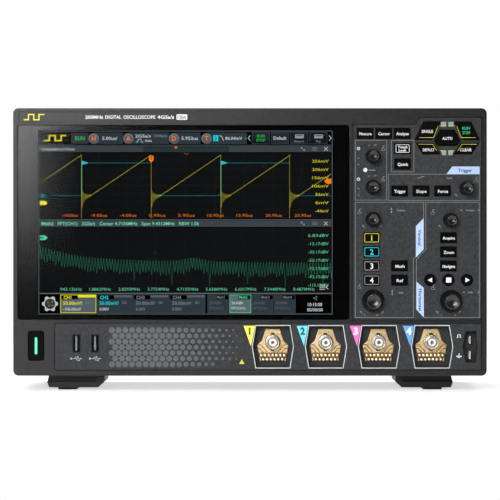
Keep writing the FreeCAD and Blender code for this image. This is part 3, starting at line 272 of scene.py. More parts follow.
finish = {
    "case": moulded("caseGrey", (31, 31, 32), 0.32, relief=0.3, gloss=0.22),
    "cover": coverMaterial(),
    "panel": moulded("panelGrey", (47, 48, 50), 0.62, relief=0.3, gloss=0.2),
    "strip": moulded("stripGrey", (46, 47, 49), 0.6, relief=0.3, gloss=0.2),
    "key": moulded("keyBlack", (4, 4, 5), 0.5, grain=2400.0, relief=0.12, gloss=0.04),
    "knob": moulded("knobBlack", (5, 5, 6), 0.26, grain=2200.0, relief=0.08, drift=0.2, gloss=0.4),
    "knobTop": moulded("knobGloss", (16, 17, 18), 0.27, grain=900.0, relief=0.02, drift=0.15, gloss=0.6),
    "foot": moulded("footBlack", (10, 10, 11), 0.25, relief=0.1),
    "handle": moulded("handleBlack", (26, 26, 28), 0.45, relief=0.3),
    "inner": moulded("innerBlack", (14, 14, 15), 0.55, relief=0.3),
    "rubber": moulded("padRubber", (18, 18, 18), 0.8, grain=700.0, relief=0.5, gloss=0.25),
    "tongue": moulded("tongueGrey", (104, 106, 108), 0.4, relief=0.1),
    "white": moulded("insulatorWhite", (236, 236, 232), 0.35, relief=0.1, drift=0.04),
    "board": boardMaterial(),
    "gold": goldMaterial(),
    "nickel": metal("platedNickel", (236, 235, 231), 0.3, stain=(190, 188, 182), relief=0.05),
    "darkNickel": metal("darkNickel", (44, 45, 47), 0.3, stain=(20, 20, 22)),
    "contact": metal("contactCopper", (226, 120, 52), 0.25, stain=(150, 70, 30)),
    "steel": metal("zincSteel", (140, 140, 142), 0.35, stretch=(1, 8, 8), relief=0.3),
    "aluminium": metal("millAluminium", (196, 197, 199), 0.4, stretch=(1, 12, 12), relief=0.3),
    "ink": inkMaterial("panelInk"),
    "litInk": inkMaterial("litKeyInk", glow=0.12),
    "lightBar": inkMaterial("lightBar", glow=0.25),
    "screen": screenMaterial(),
    "glass": glassMaterial(),
    "glassPaint": moulded("glassBlack", (3, 3, 3), 0.12, relief=0.02, gloss=0.17),
}


def paint(piece, name):
    piece.data.materials.clear()
    piece.data.materials.append(finish[name])


nodeFinish = {
    "front_bezel": "case", "rear_cover": "cover", "screen_glass": "glass", "lcd_panel": "inner",
    "control_panel": "panel", "input_panel": "strip", "control_board": "board", "main_board": "board",
    "power_supply": "aluminium", "fan_frame": "inner", "fan_rotor": "inner", "screws": "steel",
    "rubber_feet": "rubber", "carry_handle": "handle", "power_button": "key", "ground_plates": "gold",
    "bnc_jacks": "nickel", "usb_ports": "nickel", "probe_terminals": "nickel",
    "foot_leg_left": "foot", "foot_leg_right": "foot",
}
for name, piece in nodes.items():
    kind = "key" if name.startswith("key_") else "knob" if name.startswith("knob_") else "nickel"
    paint(piece, nodeFinish.get(name, kind))
print("materials on the frame")


# meshes from whole arrays


def newPiece(name, points, faces, material, body, slot, smooth=True):
    mesh = bpy.data.meshes.new(name)
    mesh.from_pydata((np.asarray(points) * mm).tolist(), [], faces)
    mesh.polygons.foreach_set("use_smooth", [smooth] * len(mesh.polygons))
    mesh.update()
    piece = bpy.data.objects.new(name, mesh)
    bpy.context.scene.collection.objects.link(piece)
    for one in [material] if isinstance(material, str) else material:
        mesh.materials.append(finish[one])
    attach(piece, body)
    return piece


def gridFaces(rows, columns):
    # quads of a grid that closes on itself along its columns
    r, c = np.meshgrid(np.arange(rows - 1), np.arange(columns), indexing="ij")
    n = (c + 1) % columns
    quads = np.stack([r * columns + c, r * columns + n, (r + 1) * columns + n, (r + 1) * columns + c], -1)
    return quads.reshape(-1, 4).tolist()


def softened(profile, radius, steps=4):
    # each inner corner of a profile becomes a short quadratic curve that starts radius before it
    profile = np.asarray(profile, float)
    before, here, after = profile[:-2], profile[1:-1], profile[2:]
    toBefore, toAfter = before - here, after - here
    reach = lambda v: np.minimum(radius / np.maximum(np.linalg.norm(v, axis=1), 1e-9), 0.45)[:, None]
    start, end = here + toBefore * reach(toBefore), here + toAfter * reach(toAfter)
    u = np.linspace(0, 1, steps)[None, :, None]
    curve = (1 - u) ** 2 * start[:, None] + 2 * u * (1 - u) * here[:, None] + u ** 2 * end[:, None]
    return np.vstack([profile[:1], curve.reshape(-1, 2), profile[-1:]])


def turnedShape(profile, centreAt, around=64, ribs=0, ribDepth=None):
    # a profile of (radius, depth) turned about a line along Y: x = r cos a, z = r sin a, y = depth.
    # ribs take ribDepth off the radius in rounded flutes, by the cosine of ribs times the angle
    profile = np.asarray(profile, float)
    angle = np.linspace(0, 2 * math.pi, around, endpoint=False)
    radius = np.repeat(profile[:, :1], around, 1)
    if ribs:
        flute = (0.5 - 0.5 * np.cos(ribs * angle)) ** 1.5
        radius = radius - np.asarray(ribDepth)[:, None] * flute[None, :]
    x = centreAt[0] + radius * np.cos(angle)
    z = centreAt[2] + radius * np.sin(angle)
    y = np.repeat(centreAt[1] + profile[:, 1:2], around, 1)
    return np.stack([x, y, z], -1).reshape(-1, 3), gridFaces(len(profile), around)


def joined(shapes):
    points, faces, start = [], [], 0
    for shapePoints, shapeFaces in shapes:
        points.append(np.asarray(shapePoints))
        faces += [[index + start for index in face] for face in shapeFaces]
        start += len(shapePoints)
    return np.vstack(points), faces


# flat marks: printing on the panels and the picture on the display


def newMarks(y, step=0.004):
    return {"points": [], "faces": [], "colours": [], "y": y, "step": step}


def mark(marks, corners, colour, level=0):
    corners = np.asarray(corners, float)
    x, z = corners[:, 0], corners[:, 1]
    if np.sum(x * np.roll(z, -1) - np.roll(x, -1) * z) < 0:
        corners = corners[::-1]
    start = len(marks["points"])
    marks["points"] += [(a, marks["y"] - level * marks["step"], b) for a, b in corners.tolist()]
    marks["faces"].append(list(range(start, start + len(corners))))
    marks["colours"].append(linear(*colour))


def block(marks, x0, z0, x1, z1, colour, level=0):
    mark(marks, [(x0, z0), (x1, z0), (x1, z1), (x0, z1)], colour, level)


def disc(marks, x, z, radius, colour, level=0, around=20):
    angle = np.linspace(0, 2 * math.pi, around, endpoint=False)
    mark(marks, np.stack([x + radius * np.cos(angle), z + radius * np.sin(angle)], 1), colour, level)


def stroke(marks, path, width, colour, closed=False, level=0):
    # a line of even width: each point moves along the mitre of its two sides
    path = np.asarray(path, float)
    if closed:
        before, after = np.roll(path, 1, 0), np.roll(path, -1, 0)
    else:
        before = np.vstack([2 * path[0] - path[1], path[:-1]])
        after = np.vstack([path[1:], 2 * path[-1] - path[-2]])
    first, second = path - before, after - path
    first /= np.maximum(np.linalg.norm(first, axis=1), 1e-9)[:, None]
    second /= np.maximum(np.linalg.norm(second, axis=1), 1e-9)[:, None]
    mitre = np.stack([-(first + second)[:, 1], (first + second)[:, 0]], 1)
    mitre /= np.maximum(np.linalg.norm(mitre, axis=1), 1e-9)[:, None]
    lean = np.maximum(np.sum(mitre * np.stack([-first[:, 1], first[:, 0]], 1), axis=1), 0.35)[:, None]
    side = mitre * width / 2 / lean
    count = len(path)
    for k in range(count if closed else count - 1):
        n = (k + 1) % count
        mark(marks, [path[k] + side[k], path[n] + side[n], path[n] - side[n], path[k] - side[k]], colour, level)


def roundedBox(x0, z0, x1, z1, radius, steps=4):
    corners = ((x1 - radius, z1 - radius, 0), (x0 + radius, z1 - radius, 90),
               (x0 + radius, z0 + radius, 180), (x1 - radius, z0 + radius, 270))
    path = []
    for x, z, start in corners:
        angle = np.radians(np.linspace(start, start + 90, steps))
        path += list(zip(x + radius * np.cos(angle), z + radius * np.sin(angle)))
    return np.array(path)


glyphCache = {}


def glyphs(text, weight):
    # a word as flat faces, from Blender's own font; weight thickens the strokes
    if (text, weight) not in glyphCache:
        curve = bpy.data.curves.new("word", "FONT")
        curve.body = text
        curve.resolution_u = 2
        curve.offset = weight
        holder = bpy.data.objects.new("word", curve)
        mesh = bpy.data.meshes.new_from_object(holder)
        points = np.zeros(len(mesh.vertices) * 3)
        mesh.vertices.foreach_get("co", points)
        glyphCache[text, weight] = points.reshape(-1, 3)[:, :2], [list(p.vertices) for p in mesh.polygons]
        bpy.data.objects.remove(holder)
        bpy.data.curves.remove(curve)
        bpy.data.meshes.remove(mesh)
    return glyphCache[text, weight]


def word(marks, text, x, z, size, colour, align=0.5, turn=0.0, wide=None, level=1, weight=0.022):
    # size is the height of a capital; align 0, 0.5 or 1 sets the word's left, middle or right at x;
    # wide is the whole width to fit, or None to keep the font's own
    points, faces = glyphs(text, weight)
    low, high = points.min(0), points.max(0)
    grow = size / 0.69
    stretch = wide / ((high[0] - low[0]) * grow) if wide else 0.95
    scaled = (points - [low[0] + (high[0] - low[0]) * align, 0.345]) * [stretch, 1.0] * grow
    c, s = math.cos(math.radians(turn)), math.sin(math.radians(turn))
    placed = scaled @ np.array([[c, s], [-s, c]]) + [x, z]
    first = placed[faces[0]]
    ahead = np.roll(first, -1, 0)
    way = 1 if np.sum(first[:, 0] * ahead[:, 1] - ahead[:, 0] * first[:, 1]) > 0 else -1
    start = len(marks["points"])
    marks["points"] += [(a, marks["y"] - level * marks["step"], b) for a, b in placed.tolist()]
    marks["faces"] += [[start + index for index in face[::way]] for face in faces]
    marks["colours"] += [linear(*colour)] * len(faces)


def thicken(piece, thickness):
    solid = piece.modifiers.new("thickness", "SOLIDIFY")
    solid.thickness = thickness * mm
    solid.offset = -1


def printed(name, marks, material, body, slot, thickness=0.015):
    piece = newPiece(name, marks["points"], marks["faces"], material, body, slot, False)
    ink = piece.data.color_attributes.new("ink", "FLOAT_COLOR", "CORNER")
    sizes = [len(face) for face in marks["faces"]]
    ink.data.foreach_set("color", np.repeat(np.array(marks["colours"]), sizes, 0).ravel())
    thicken(piece, thickness)


# knobs

knobShape = {
    "lift": 0.8, "reach": 13.0,
    "small": {"base": 5.75, "top": 3.95, "rim": 3.35, "flutes": 20, "cut": 0.5},
    "large": {"base": 8.55, "top": 5.7, "rim": 4.95, "flutes": 28, "cut": 0.6},
}


def knob(name, size):
    x, _, z = centre("knob_" + name)
    form = knobShape[size]
    base, top, rim = form["base"], form["top"], form["rim"]
    lift, reach = knobShape["lift"], knobShape["reach"]
    # closed under the skirt, up the fluted cone, over the rim and into the dish
    side = softened([
        (0.01, -lift), (base, -lift), (base, -lift - 1.2), (base - 0.55, -lift - 1.8),
        (top + 0.25, -reach + 1.3), (top - 0.1, -reach + 0.5), (rim + 0.1, -reach), (rim - 0.3, -reach + 0.1),
    ], 0.3)
    dish = np.linspace(1, 0, 9)
    bowl = np.stack([np.maximum((rim - 0.35) * dish, 0.01), -reach + 0.15 + 1.1 * (1 - dish ** 2)], 1)
    profile = np.vstack([side, bowl])
    depth = -profile[:, 1]
    onCone = (profile[:, 0] > top - 0.2) & (depth > lift + 1.9) & (depth < reach - 1.3)
    cut = np.where(onCone, form["cut"], 0.0)
    flutes = form["flutes"]
    points, faces = turnedShape(profile, (x, frontY, z), flutes * 8, flutes, cut)
    piece = newPiece("knob_cap_" + name, points, faces, ["knob", "knobTop"], "knob_" + name, "knob_plastic")
    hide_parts("knob_" + name)
    rows = len(profile) - 1
    onTop = np.repeat((depth[:-1] > reach - 1.0) & (np.arange(rows) > 8), flutes * 8)
    piece.data.polygons.foreach_set("material_index", onTop.astype(int))


for name in nodes:
    if name.startswith("knob_"):
        knob(name[5:], "large" if name.endswith("scale") else "small")
print("knobs")


# keys: printed words ride on their keys

palette = {
    "white": (232, 232, 230), "grey": (128, 136, 138), "sign": (150, 166, 172), "line": (110, 120, 122),
    "pale": (172, 196, 230), "yellow": (200, 190, 44), "cyan": (36, 196, 204), "run": (50, 190, 136),
    "dark": (36, 38, 40),
}
keyWords = {
    "measure": "Measure", "cursor": "Cursor", "analyse": "Analyse", "quick": "Quick", "trigger": "Trigger",
    "slope": "Slope", "force": "Force", "math": "Math", "ref": "Ref", "acquire": "Acquire",
    "zoom": "Zoom", "navigate": "Navigate", "auto": "AUTO", "single": "SINGLE", "default": "DEFAULT",
    "clear": "CLEAR",
}
keyFrames = {"channel_1": "yellow", "channel_2": "cyan", "channel_3": "white", "channel_4": "white"}
keyWide = {"measure": 9.4, "cursor": 8.8, "analyse": 9.4, "quick": 8.2, "trigger": 8.6, "slope": 7.8, "force": 7.6,
           "math": 6.9, "ref": 5.0, "acquire": 9.3, "zoom": 7.9, "navigate": 9.5, "auto": 7.6, "single": 8.6,
           "default": 8.7, "clear": 8.7}
keyPrint = {"size": 2.15, "lit": 4.0, "frameWide": 10.6, "frameTall": 6.3, "line": 0.36, "weight": 0.016}


def keyMarks(name):
    x, _, z = centre("key_" + name)
    marks = newMarks(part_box("key_" + name)[0].y / mm - 0.02)
    if name in keyWords:
        shift = {"single": (-0.6, -0.5), "default": (0.2, -1.0), "clear": (-0.4, -1.0), "auto": (0, -0.5)}
        dx, dz = shift.get(name, (0.2, -0.3))
        word(marks, keyWords[name], x + dx, z + dz, keyPrint["size"], palette["white"], wide=keyWide[name],
             weight=keyPrint["weight"])
    if name in keyFrames:
        colour = palette[keyFrames[name]]
        half, tall = keyPrint["frameWide"] / 2, keyPrint["frameTall"] / 2
        stroke(marks, roundedBox(x - half, z - tall, x + half, z + tall, 0.6), keyPrint["line"],
               colour if keyFrames[name] != "white" else (150, 148, 144), True)
        word(marks, name[-1], x, z - 0.1, keyPrint["lit"], colour, weight=0.014)
    if name == "touch_lock":
        stroke(marks, roundedBox(x - 5, z - 2.9, x + 5, z + 2.9, 0.6), 0.32, palette["white"], True)
        word(marks, "Touch", x, z + 1.15, 1.8, palette["white"], wide=7.2)
        word(marks, "Lock", x, z - 1.3, 1.8, palette["white"], wide=5.8)
    if name == "run_stop":
        word(marks, "RUN", x - 0.4, z + 1.9, 2.2, palette["run"], wide=5.8, weight=0.008)
        word(marks, "STOP", x - 0.2, z - 1.5, 2.2, palette["run"], wide=5.8, weight=0.008)
    if name == "back":
        mark(marks, [(x + 1.4, z + 1.8), (x - 1.9, z), (x + 1.4, z - 1.8)], palette["white"], 1)
    if name == "play":
        mark(marks, [(x - 1.4, z + 1.9), (x + 2.0, z), (x - 1.4, z - 1.9)], palette["white"], 1)
    if name == "stop":
        block(marks, x - 2.0, z - 1.9, x + 2.0, z + 1.9, palette["white"], 1)
    return marks, x, z


# yellow lines along the inner edges of the slanted keys, measured from each key's middle
accents = {
    "single": [(7.6, 3.6), (4.0, -5.2), (-6.6, -5.2)], "run_stop": [(-7.6, 3.6), (-4.0, -5.2), (6.6, -5.2)],
    "default": [(-7.6, 3.2), (3.3, 3.2), (6.6, -1.8)], "clear": [(7.6, 3.2), (-3.3, 3.2), (-6.6, -1.8)],
}
for nodeName in nodes:
    if nodeName.startswith("key_"):
        name = nodeName[4:]
        marks, x, z = keyMarks(name)
        if name in accents:
            stroke(marks, np.array(accents[name]) + [x, z], 0.32, palette["yellow"])
        lit = name in keyFrames or name in ("run_stop", "touch_lock")
        printed("print_" + nodeName, marks, "litInk" if lit else "ink", nodeName, "key_plastic")
print("key printing")


# printing on the control panel, in mm from its lower left corner

panelPrint = {"line": 0.42, "lift": 0.02}
panelMarks = newMarks(frontY - panelPrint["lift"])


def panelPath(points):
    return np.array(points, float) + [panelX, panelZ]


def panelLine(points):
    stroke(panelMarks, panelPath(points), panelPrint["line"], palette["line"], True)


panelLine([(1.5, 90.3), (25.2, 90.3), (25.2, 135.5), (1.5, 135.5)])
panelLine([(28.8, 111.7), (45.8, 111.7), (45.8, 135.5), (28.8, 135.5)])
panelLine([(26.5, 90.0), (95.3, 90.0), (95.3, 109.9), (26.5, 109.9)])
panelLine([(1.5, 1.6), (45.4, 1.6), (45.4, 45.8), (53.1, 53.6), (53.1, 88.6), (1.5, 88.6)])
panelLine([(54.0, 1.6), (95.3, 1.6), (95.3, 88.6), (54.8, 88.6), (54.8, 53.2), (47.7, 45.5), (47.7, 8.0)])
# each tab's outline, the middle of its word, the word's turn in degrees and its width
tabs = {
    "Trigger": ([(70.4, 109.9), (74.8, 115.7), (95.5, 115.7), (95.5, 109.9)], (84.5, 112.8), 0, 10.7),
    "Vertical": ([(53.1, 76.5), (47.3, 70.6), (47.3, 47.0), (53.1, 53.0)], (50.2, 62.0), 270, 12.0),
    "Horizontal": ([(47.7, 28.8), (53.3, 23.9), (53.3, 1.6), (47.7, 7.7)], (50.6, 15.0), 270, 16.5),
}
for text, (outline, (u, v), turn, wide) in tabs.items():
    mark(panelMarks, panelPath(outline), palette["pale"], 1)
    word(panelMarks, text, panelX + u, panelZ + v, 2.3, palette["dark"], turn=turn, wide=wide, level=2,
         weight=0.02)


def arrowHead(marks, x, z, size, turn, colour, level=1):
    angle = np.radians(turn) + np.radians([0, 140, 220])
    mark(marks, np.stack([x + size * np.cos(angle), z + size * np.sin(angle)], 1), colour, level)


def pushSign(u, v):
    # "press here": a bracket on a base line, with a bent pointer standing on it
    x, z, grey = panelX + u, panelZ + v, palette["grey"]
    stroke(panelMarks, [(x - 1.4, z - 1.5), (x - 0.7, z - 0.4), (x + 0.7, z - 0.4), (x + 1.4, z - 1.5)], 0.3, grey)
    block(panelMarks, x - 1.5, z - 2.1, x + 1.5, z - 1.85, grey)
    block(panelMarks, x - 0.22, z - 0.2, x + 0.22, z + 1.5, grey)
    block(panelMarks, x - 0.2, z + 1.3, x + 1.5, z + 1.65, grey)


knobSpots = {name[5:]: centre(name)[[0, 2]] - [panelX, panelZ] for name in nodes if name.startswith("knob_")}
# short bent arrows beside the knobs: which way to turn
turnSigns = ((7.2, 71.0, 135), (21.0, 71.0, 45), (65.0, 71.0, 135), (77.3, 94.6, 135),
             (5.6, 6.1, 135), (22.4, 5.8, 45), (63.1, 6.1, 135), (80.8, 6.1, 45))
for u, v, turn in turnSigns:
    arrowHead(panelMarks, panelX + u, panelZ + v, 1.2, turn, (112, 122, 124))
    lean = -1 if turn > 90 else 1
    stroke(panelMarks, panelPath([(u, v), (u - 0.9 * lean, v - 1.3), (u - 2.0 * lean, v - 1.7)]), 0.3, palette["line"])
for text, u, v in (("V", 8.5, 3.6), ("mV", 18.2, 3.6), ("s", 66.6, 3.9), ("ns", 77.0, 3.6)):
    word(panelMarks, text, panelX + u, panelZ + v, 1.3, (118, 126, 128))
signSpots = {"multi_a": (7.6, 6.6), "multi_b": (7.6, 6.6), "trigger_level": (7.4, 7.0),
             "vertical_position": (-10.2, 6.4), "horizontal_position": (-13.2, 6.6),
             "vertical_scale": (-10.4, 11.2), "horizontal_scale": (-13.4, 11.0)}
for name, (du, dv) in signSpots.items():
    pushSign(knobSpots[name][0] + du, knobSpots[name][1] + dv)
for name in ("multi_a", "multi_b"):
    v = knobSpots[name][1]
    disc(panelMarks, panelX + 3.9, panelZ + v + 6.1, 1.3, (190, 205, 206), 1)
    word(panelMarks, name[-1].upper(), panelX + 3.9, panelZ + v + 6.0, 1.5, palette["dark"], level=2)
    for low, tip in ((v - 1.6, v - 0.6), (v - 5.6, v - 6.6)):
        stroke(panelMarks, panelPath([(3.2, low), (3.9, tip), (4.6, low)]), 0.32, palette["grey"])
    stroke(panelMarks, panelPath([(11.2, v + 8.3), (12.2, v + 8.9), (12.0, v + 7.8)]), 0.3, palette["grey"])
    stroke(panelMarks, panelPath([(15.4, v + 8.2), (17.4, v + 8.9), (15.9, v + 9.4)]), 0.3, palette["grey"])
disc(panelMarks, panelX + 9.1, panelZ + 113.1, 1.55, (214, 224, 226), 1)
word(panelMarks, "Flexible", panelX + 11.6, panelZ + 113.1, 1.25, palette["grey"], align=0)
smallWords = (("Position", 36.0, 82.6), ("Level", 72.6, 107.0), ("Scale", 36.0, 20.4),
              ("Position", 88.4, 82.6), ("Scale", 88.6, 20.6))
for text, u, v in smallWords:
    word(panelMarks, text, panelX + u, panelZ + v, 1.35, palette["grey"])
for u, v in ((28.8, 82.5), (29.4, 20.4)):
    arrowHead(panelMarks, panelX + u, panelZ + v + 1.3, 1.1, 90, palette["grey"])
    arrowHead(panelMarks, panelX + u, panelZ + v - 1.3, 1.1, 270, palette["grey"])
for u, v in ((81.4, 82.6), (83.4, 20.6)):
    arrowHead(panelMarks, panelX + u, panelZ + v, 1.0, 180, palette["grey"])
    arrowHead(panelMarks, panelX + 95.0, panelZ + v, 1.0, 0, palette["grey"])
stroke(panelMarks, panelPath([(48.6, 107.0), (50.2, 107.0), (51.6, 108.0), (53.6, 108.0)]), 0.4, palette["grey"])
# pale blocks, each crossed by a yellow line, above and below the middle key
middleX = centre("key_auto")[0]
for side in (-1, 1):
    for base, line, outer in ((145.9, 146.2, 5.0), (124.3, 127.4, 4.6)):
        near, low, high = middleX + side * 0.8, panelZ + base, panelZ + base + 3.6
        mark(panelMarks, [(near, low), (middleX + side * (outer - 0.6), low), (middleX + side * outer, high),
                          (near, high)], (138, 152, 160))
        far, low = middleX + side * (outer + 0.8), panelZ + line
        block(panelMarks, near, low, far, low + 0.5, palette["yellow"], 1)
printed("panel_print", panelMarks, "ink", "case", "panel_plastic")
print("panel printing")


# printing on the input strip

stripMarks = newMarks(frontY - panelPrint["lift"])
channelX = [centre("ground_plates")[0] + (k - 1.5) * 40.13 for k in range(4)]
windowZ, barrelZ = 34.35, 37.6
window = {"mid": 15.3, "end": 12.7, "tall": 31.5, "line": 0.62}
# the colours of each channel's triangle and its digit
channelInks = (((240, 235, 90), (60, 62, 40)), ((110, 214, 234), (30, 74, 86)),
               ((250, 110, 190), (246, 240, 246)), ((95, 160, 245), (246, 240, 246)))
for k, (x, (ground, digit)) in enumerate(zip(channelX, channelInks)):
    half = window["tall"] / 2
    outline = np.array([(-window["end"], -half), (window["end"], -half), (window["mid"], 0), (window["end"], half),
                        (-window["end"], half), (-window["mid"], 0)]) * 1.02 + [x, windowZ]
    stroke(stripMarks, outline, window["line"], (196, 200, 200), True, 1)
    mark(stripMarks, [(x - 22.1, 50.2), (x - 13.6, 50.2), (x - 16.6, 34.8)], ground)
    word(stripMarks, str(k + 1), x - 17.6, 46.2, 5.0, digit, weight=0.045)
# rows of dots that get smaller to the right
dots = {"rows": 7, "columns": 19, "pitchX": 5.09, "pitchZ": 4.3, "first": -104.4, "large": 2.48, "small": 0.72}
for row in range(dots["rows"]):
    for column in range(dots["columns"] - (3 if row == 6 else 0)):
        x = dots["first"] + (column + 0.5 * (row % 2)) * dots["pitchX"]
        share = column / (dots["columns"] - 1)
        radius = dots["large"] + (dots["small"] - dots["large"]) * share ** 2.2
        disc(stripMarks, x, 46.9 - row * dots["pitchZ"], radius, (82, 88, 88), 0, 6 if share < 0.3 else 12)
# painted shadow round the strip's left end, fading along its top and bottom: a dark line standing in for the shade at
# the strip's edge
stripLow, stripHigh = [np.array(c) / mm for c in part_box("input_panel")]
left, low, high = stripLow[0] + 0.4, stripLow[2] + 0.4, stripHigh[2] - 0.4
stroke(stripMarks, [(left + 2, high), (left + 0.5, high - 0.5), (left, high - 2), (left, low + 2),
                    (left + 0.5, low + 0.5), (left + 2, low)], 0.8, (18, 19, 20))
# painted shadow along the top and bottom edges, lighter step by step to the right
for k in range(8):
    edgeShade = (18 + 4 * k, 19 + 4 * k, 20 + 4 * k)
    for z in (low, high):
        block(stripMarks, left + 2 + 20 * k, z - 0.35, left + 22 + 20 * k, z + 0.35, edgeShade)
# a small yellow triangle, then the signs under the USB sockets and by the probe terminals
mark(stripMarks, [(-8.2, 21.4), (-4.2, 21.4), (-6.2, 24.9)], (214, 200, 50))
block(stripMarks, -6.35, 22.6, -6.05, 23.9, palette["dark"], 1)
usbLow, usbHigh = [np.array(c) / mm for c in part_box("usb_ports")]
usbX = (usbLow[0] + 2.8, usbHigh[0] - 2.8)
usbZ, z = (usbLow[2] + usbHigh[2]) / 2, 25.4
for x in usbX:
    stroke(stripMarks, roundedBox(x - 3.2, usbZ - 7.0, x + 3.2, usbZ + 7.0, 0.5), 0.5, (12, 12, 12), True)
    block(stripMarks, x - 4.0, z - 0.18, x + 3.4, z + 0.18, palette["sign"])
    arrowHead(stripMarks, x + 3.6, z, 0.9, 0, palette["sign"])
    disc(stripMarks, x - 4.0, z, 0.8, palette["sign"])
    stroke(stripMarks, [(x - 1.8, z), (x - 0.6, z + 1.2), (x + 0.8, z + 1.2)], 0.34, palette["sign"])
    stroke(stripMarks, [(x - 0.6, z), (x + 0.5, z - 1.2), (x + 1.6, z - 1.2)], 0.34, palette["sign"])
    disc(stripMarks, x + 1.0, z + 1.2, 0.6, palette["sign"])
    block(stripMarks, x + 1.5, z - 1.7, x + 2.5, z - 0.7, palette["sign"])
stroke(stripMarks, [(156.3, 41.4), (157.0, 41.4), (157.0, 43.4), (158.9, 43.4), (158.9, 41.4), (159.6, 41.4)],
       0.42, palette["white"])
block(stripMarks, 156.0, 26.9, 160.0, 27.5, palette["white"])
block(stripMarks, 157.0, 26.0, 159.0, 26.5, palette["white"])
block(stripMarks, 157.75, 27.4, 158.25, 29.4, palette["white"])
printed("strip_print", stripMarks, "ink", "case", "panel_plastic")

nameMarks = newMarks(frontY + 0.5 - panelPrint["lift"])
nameZ = 208.0
stroke(nameMarks, roundedBox(-174.7, 204.3, -26.3, 211.8, 1.4), 0.4, (20, 20, 20), True)
stroke(nameMarks, [(-171, nameZ - 2), (-167.5, nameZ - 2), (-167.5, nameZ + 2), (-163.5, nameZ + 2), (-163.5, nameZ - 2),
                   (-159.5, nameZ - 2), (-159.5, nameZ + 2), (-155.5, nameZ + 2)], 0.8, (236, 226, 40))
for text, left, wide in (("200MHz", -124.5, 13.5), ("DIGITAL", -109.5, 12.2), ("OSCILLOSCOPE", -95.8, 24.2),
                         ("4GSa/s", -70.0, 12.6)):
    word(nameMarks, text, left, nameZ, 2.5, palette["white"], align=0, wide=wide, weight=0.02)
mark(nameMarks, roundedBox(-55.6, nameZ - 2.1, -47.4, nameZ + 2.1, 0.9), palette["white"])
word(nameMarks, "12bit", -51.5, nameZ, 2.3, palette["dark"], wide=6.4, level=2)
printed("name_print", nameMarks, "ink", "case", "case_plastic")
print("strip printing")


# gold ground plates: a height field on a square grid, cut to the plate's outline and its hole

gold = {"hole": 5.6, "thick": 1.3, "edge": 0.45, "groove": 0.7, "tooth": 0.8}
plateOutline = np.array([(-5.4, 10.1), (5.4, 10.1), (8.4, 0.9), (12.0, -2.2), (10.0, -14.8), (-10.0, -14.8),
                         (-12.0, -2.2), (-8.4, 0.9)])


def segmentDistance(x, z, a, b):
    a, b = np.array(a, float), np.array(b, float)
    d = b - a
    t = np.clip(((x - a[0]) * d[0] + (z - a[1]) * d[1]) / (d @ d), 0, 1)
    return np.hypot(x - a[0] - t * d[0], z - a[1] - t * d[1])


def insideDepth(x, z, outline):
    # how deep a point lies inside a convex-ish outline: the least distance to a side, negative outside
    crossings = np.zeros(x.shape, int)
    least = np.full(x.shape, 1e9)
    for a, b in zip(outline, np.roll(outline, -1, 0)):
        least = np.minimum(least, segmentDistance(x, z, a, b))
        spans = (a[1] > z) != (b[1] > z)
        at = a[0] + (z - a[1]) * (b[0] - a[0]) / (b[1] - a[1] + 1e-12)
        crossings += (spans & (x < at)).astype(int)
    return np.where(crossings % 2 == 1, least, -least)


# the scored lines of one side: two bent runs from the edge to the teeth
scored = (((11.8, -1.9), (8.9, -2.2)), ((8.9, -2.2), (4.4, -7.4)),
          ((11.6, -4.9), (9.6, -4.9)), ((9.6, -4.9), (7.0, -7.8)))


def goldHeight(x, z):
    # height over the back: the plate, less its grooves, plus two rows of domed teeth;
    # also the painted shade in the grooves and round the teeth, and the painted highlight on each tooth top
    height = np.full(x.shape, gold["thick"])
    cut, wearAndGlint = np.zeros(x.shape), np.zeros(x.shape)
    for side in (-1, 1):
        for a, b in scored:
            near = segmentDistance(x, z, (side * a[0], a[1]), (side * b[0], b[1]))
            cut = np.maximum(cut, np.clip(1.6 - near / 0.14, 0, 1))
    for level in (-8.3, -11.85):
        cut = np.maximum(cut, np.clip(1.5 - np.abs(z - level) / 0.14, 0, 1) * (np.abs(x) < 9.9))
    for top, low, count in ((-8.3, -11.85, 7), (-11.85, -14.8, 6)):
        inRow = (z < top) & (z > low)
        place = x / 2.95 + (0.0 if count % 2 else 0.5)
        local = (place - np.round(place)) * 2.95
        within = np.abs(x) < 2.95 * count / 2 + 0.2
        between = np.clip(1.5 - (1.475 - np.abs(local)) / 0.14, 0, 1)
        cut = np.maximum(cut, np.where(inRow & within, between, 0))
        away = np.hypot(local / 1.45, (z - (top + low) / 2) / 1.6)
        dome = np.clip(1 - away ** 2, 0, 1) * (inRow & within & (np.abs(local) < 1.4))
        height += gold["tooth"] * dome
        # painted highlight: a bright spot on the top of each tooth
        wearAndGlint = np.maximum(wearAndGlint, np.clip(2.2 * dome - 0.9, 0, 1))
        # painted shade, with a shallow cut, round the foot of each tooth
        cut = np.maximum(cut, 0.35 * np.clip(1 - 2.0 * dome, 0, 1) * (inRow & within))
    return height - gold["groove"] * cut, cut, wearAndGlint


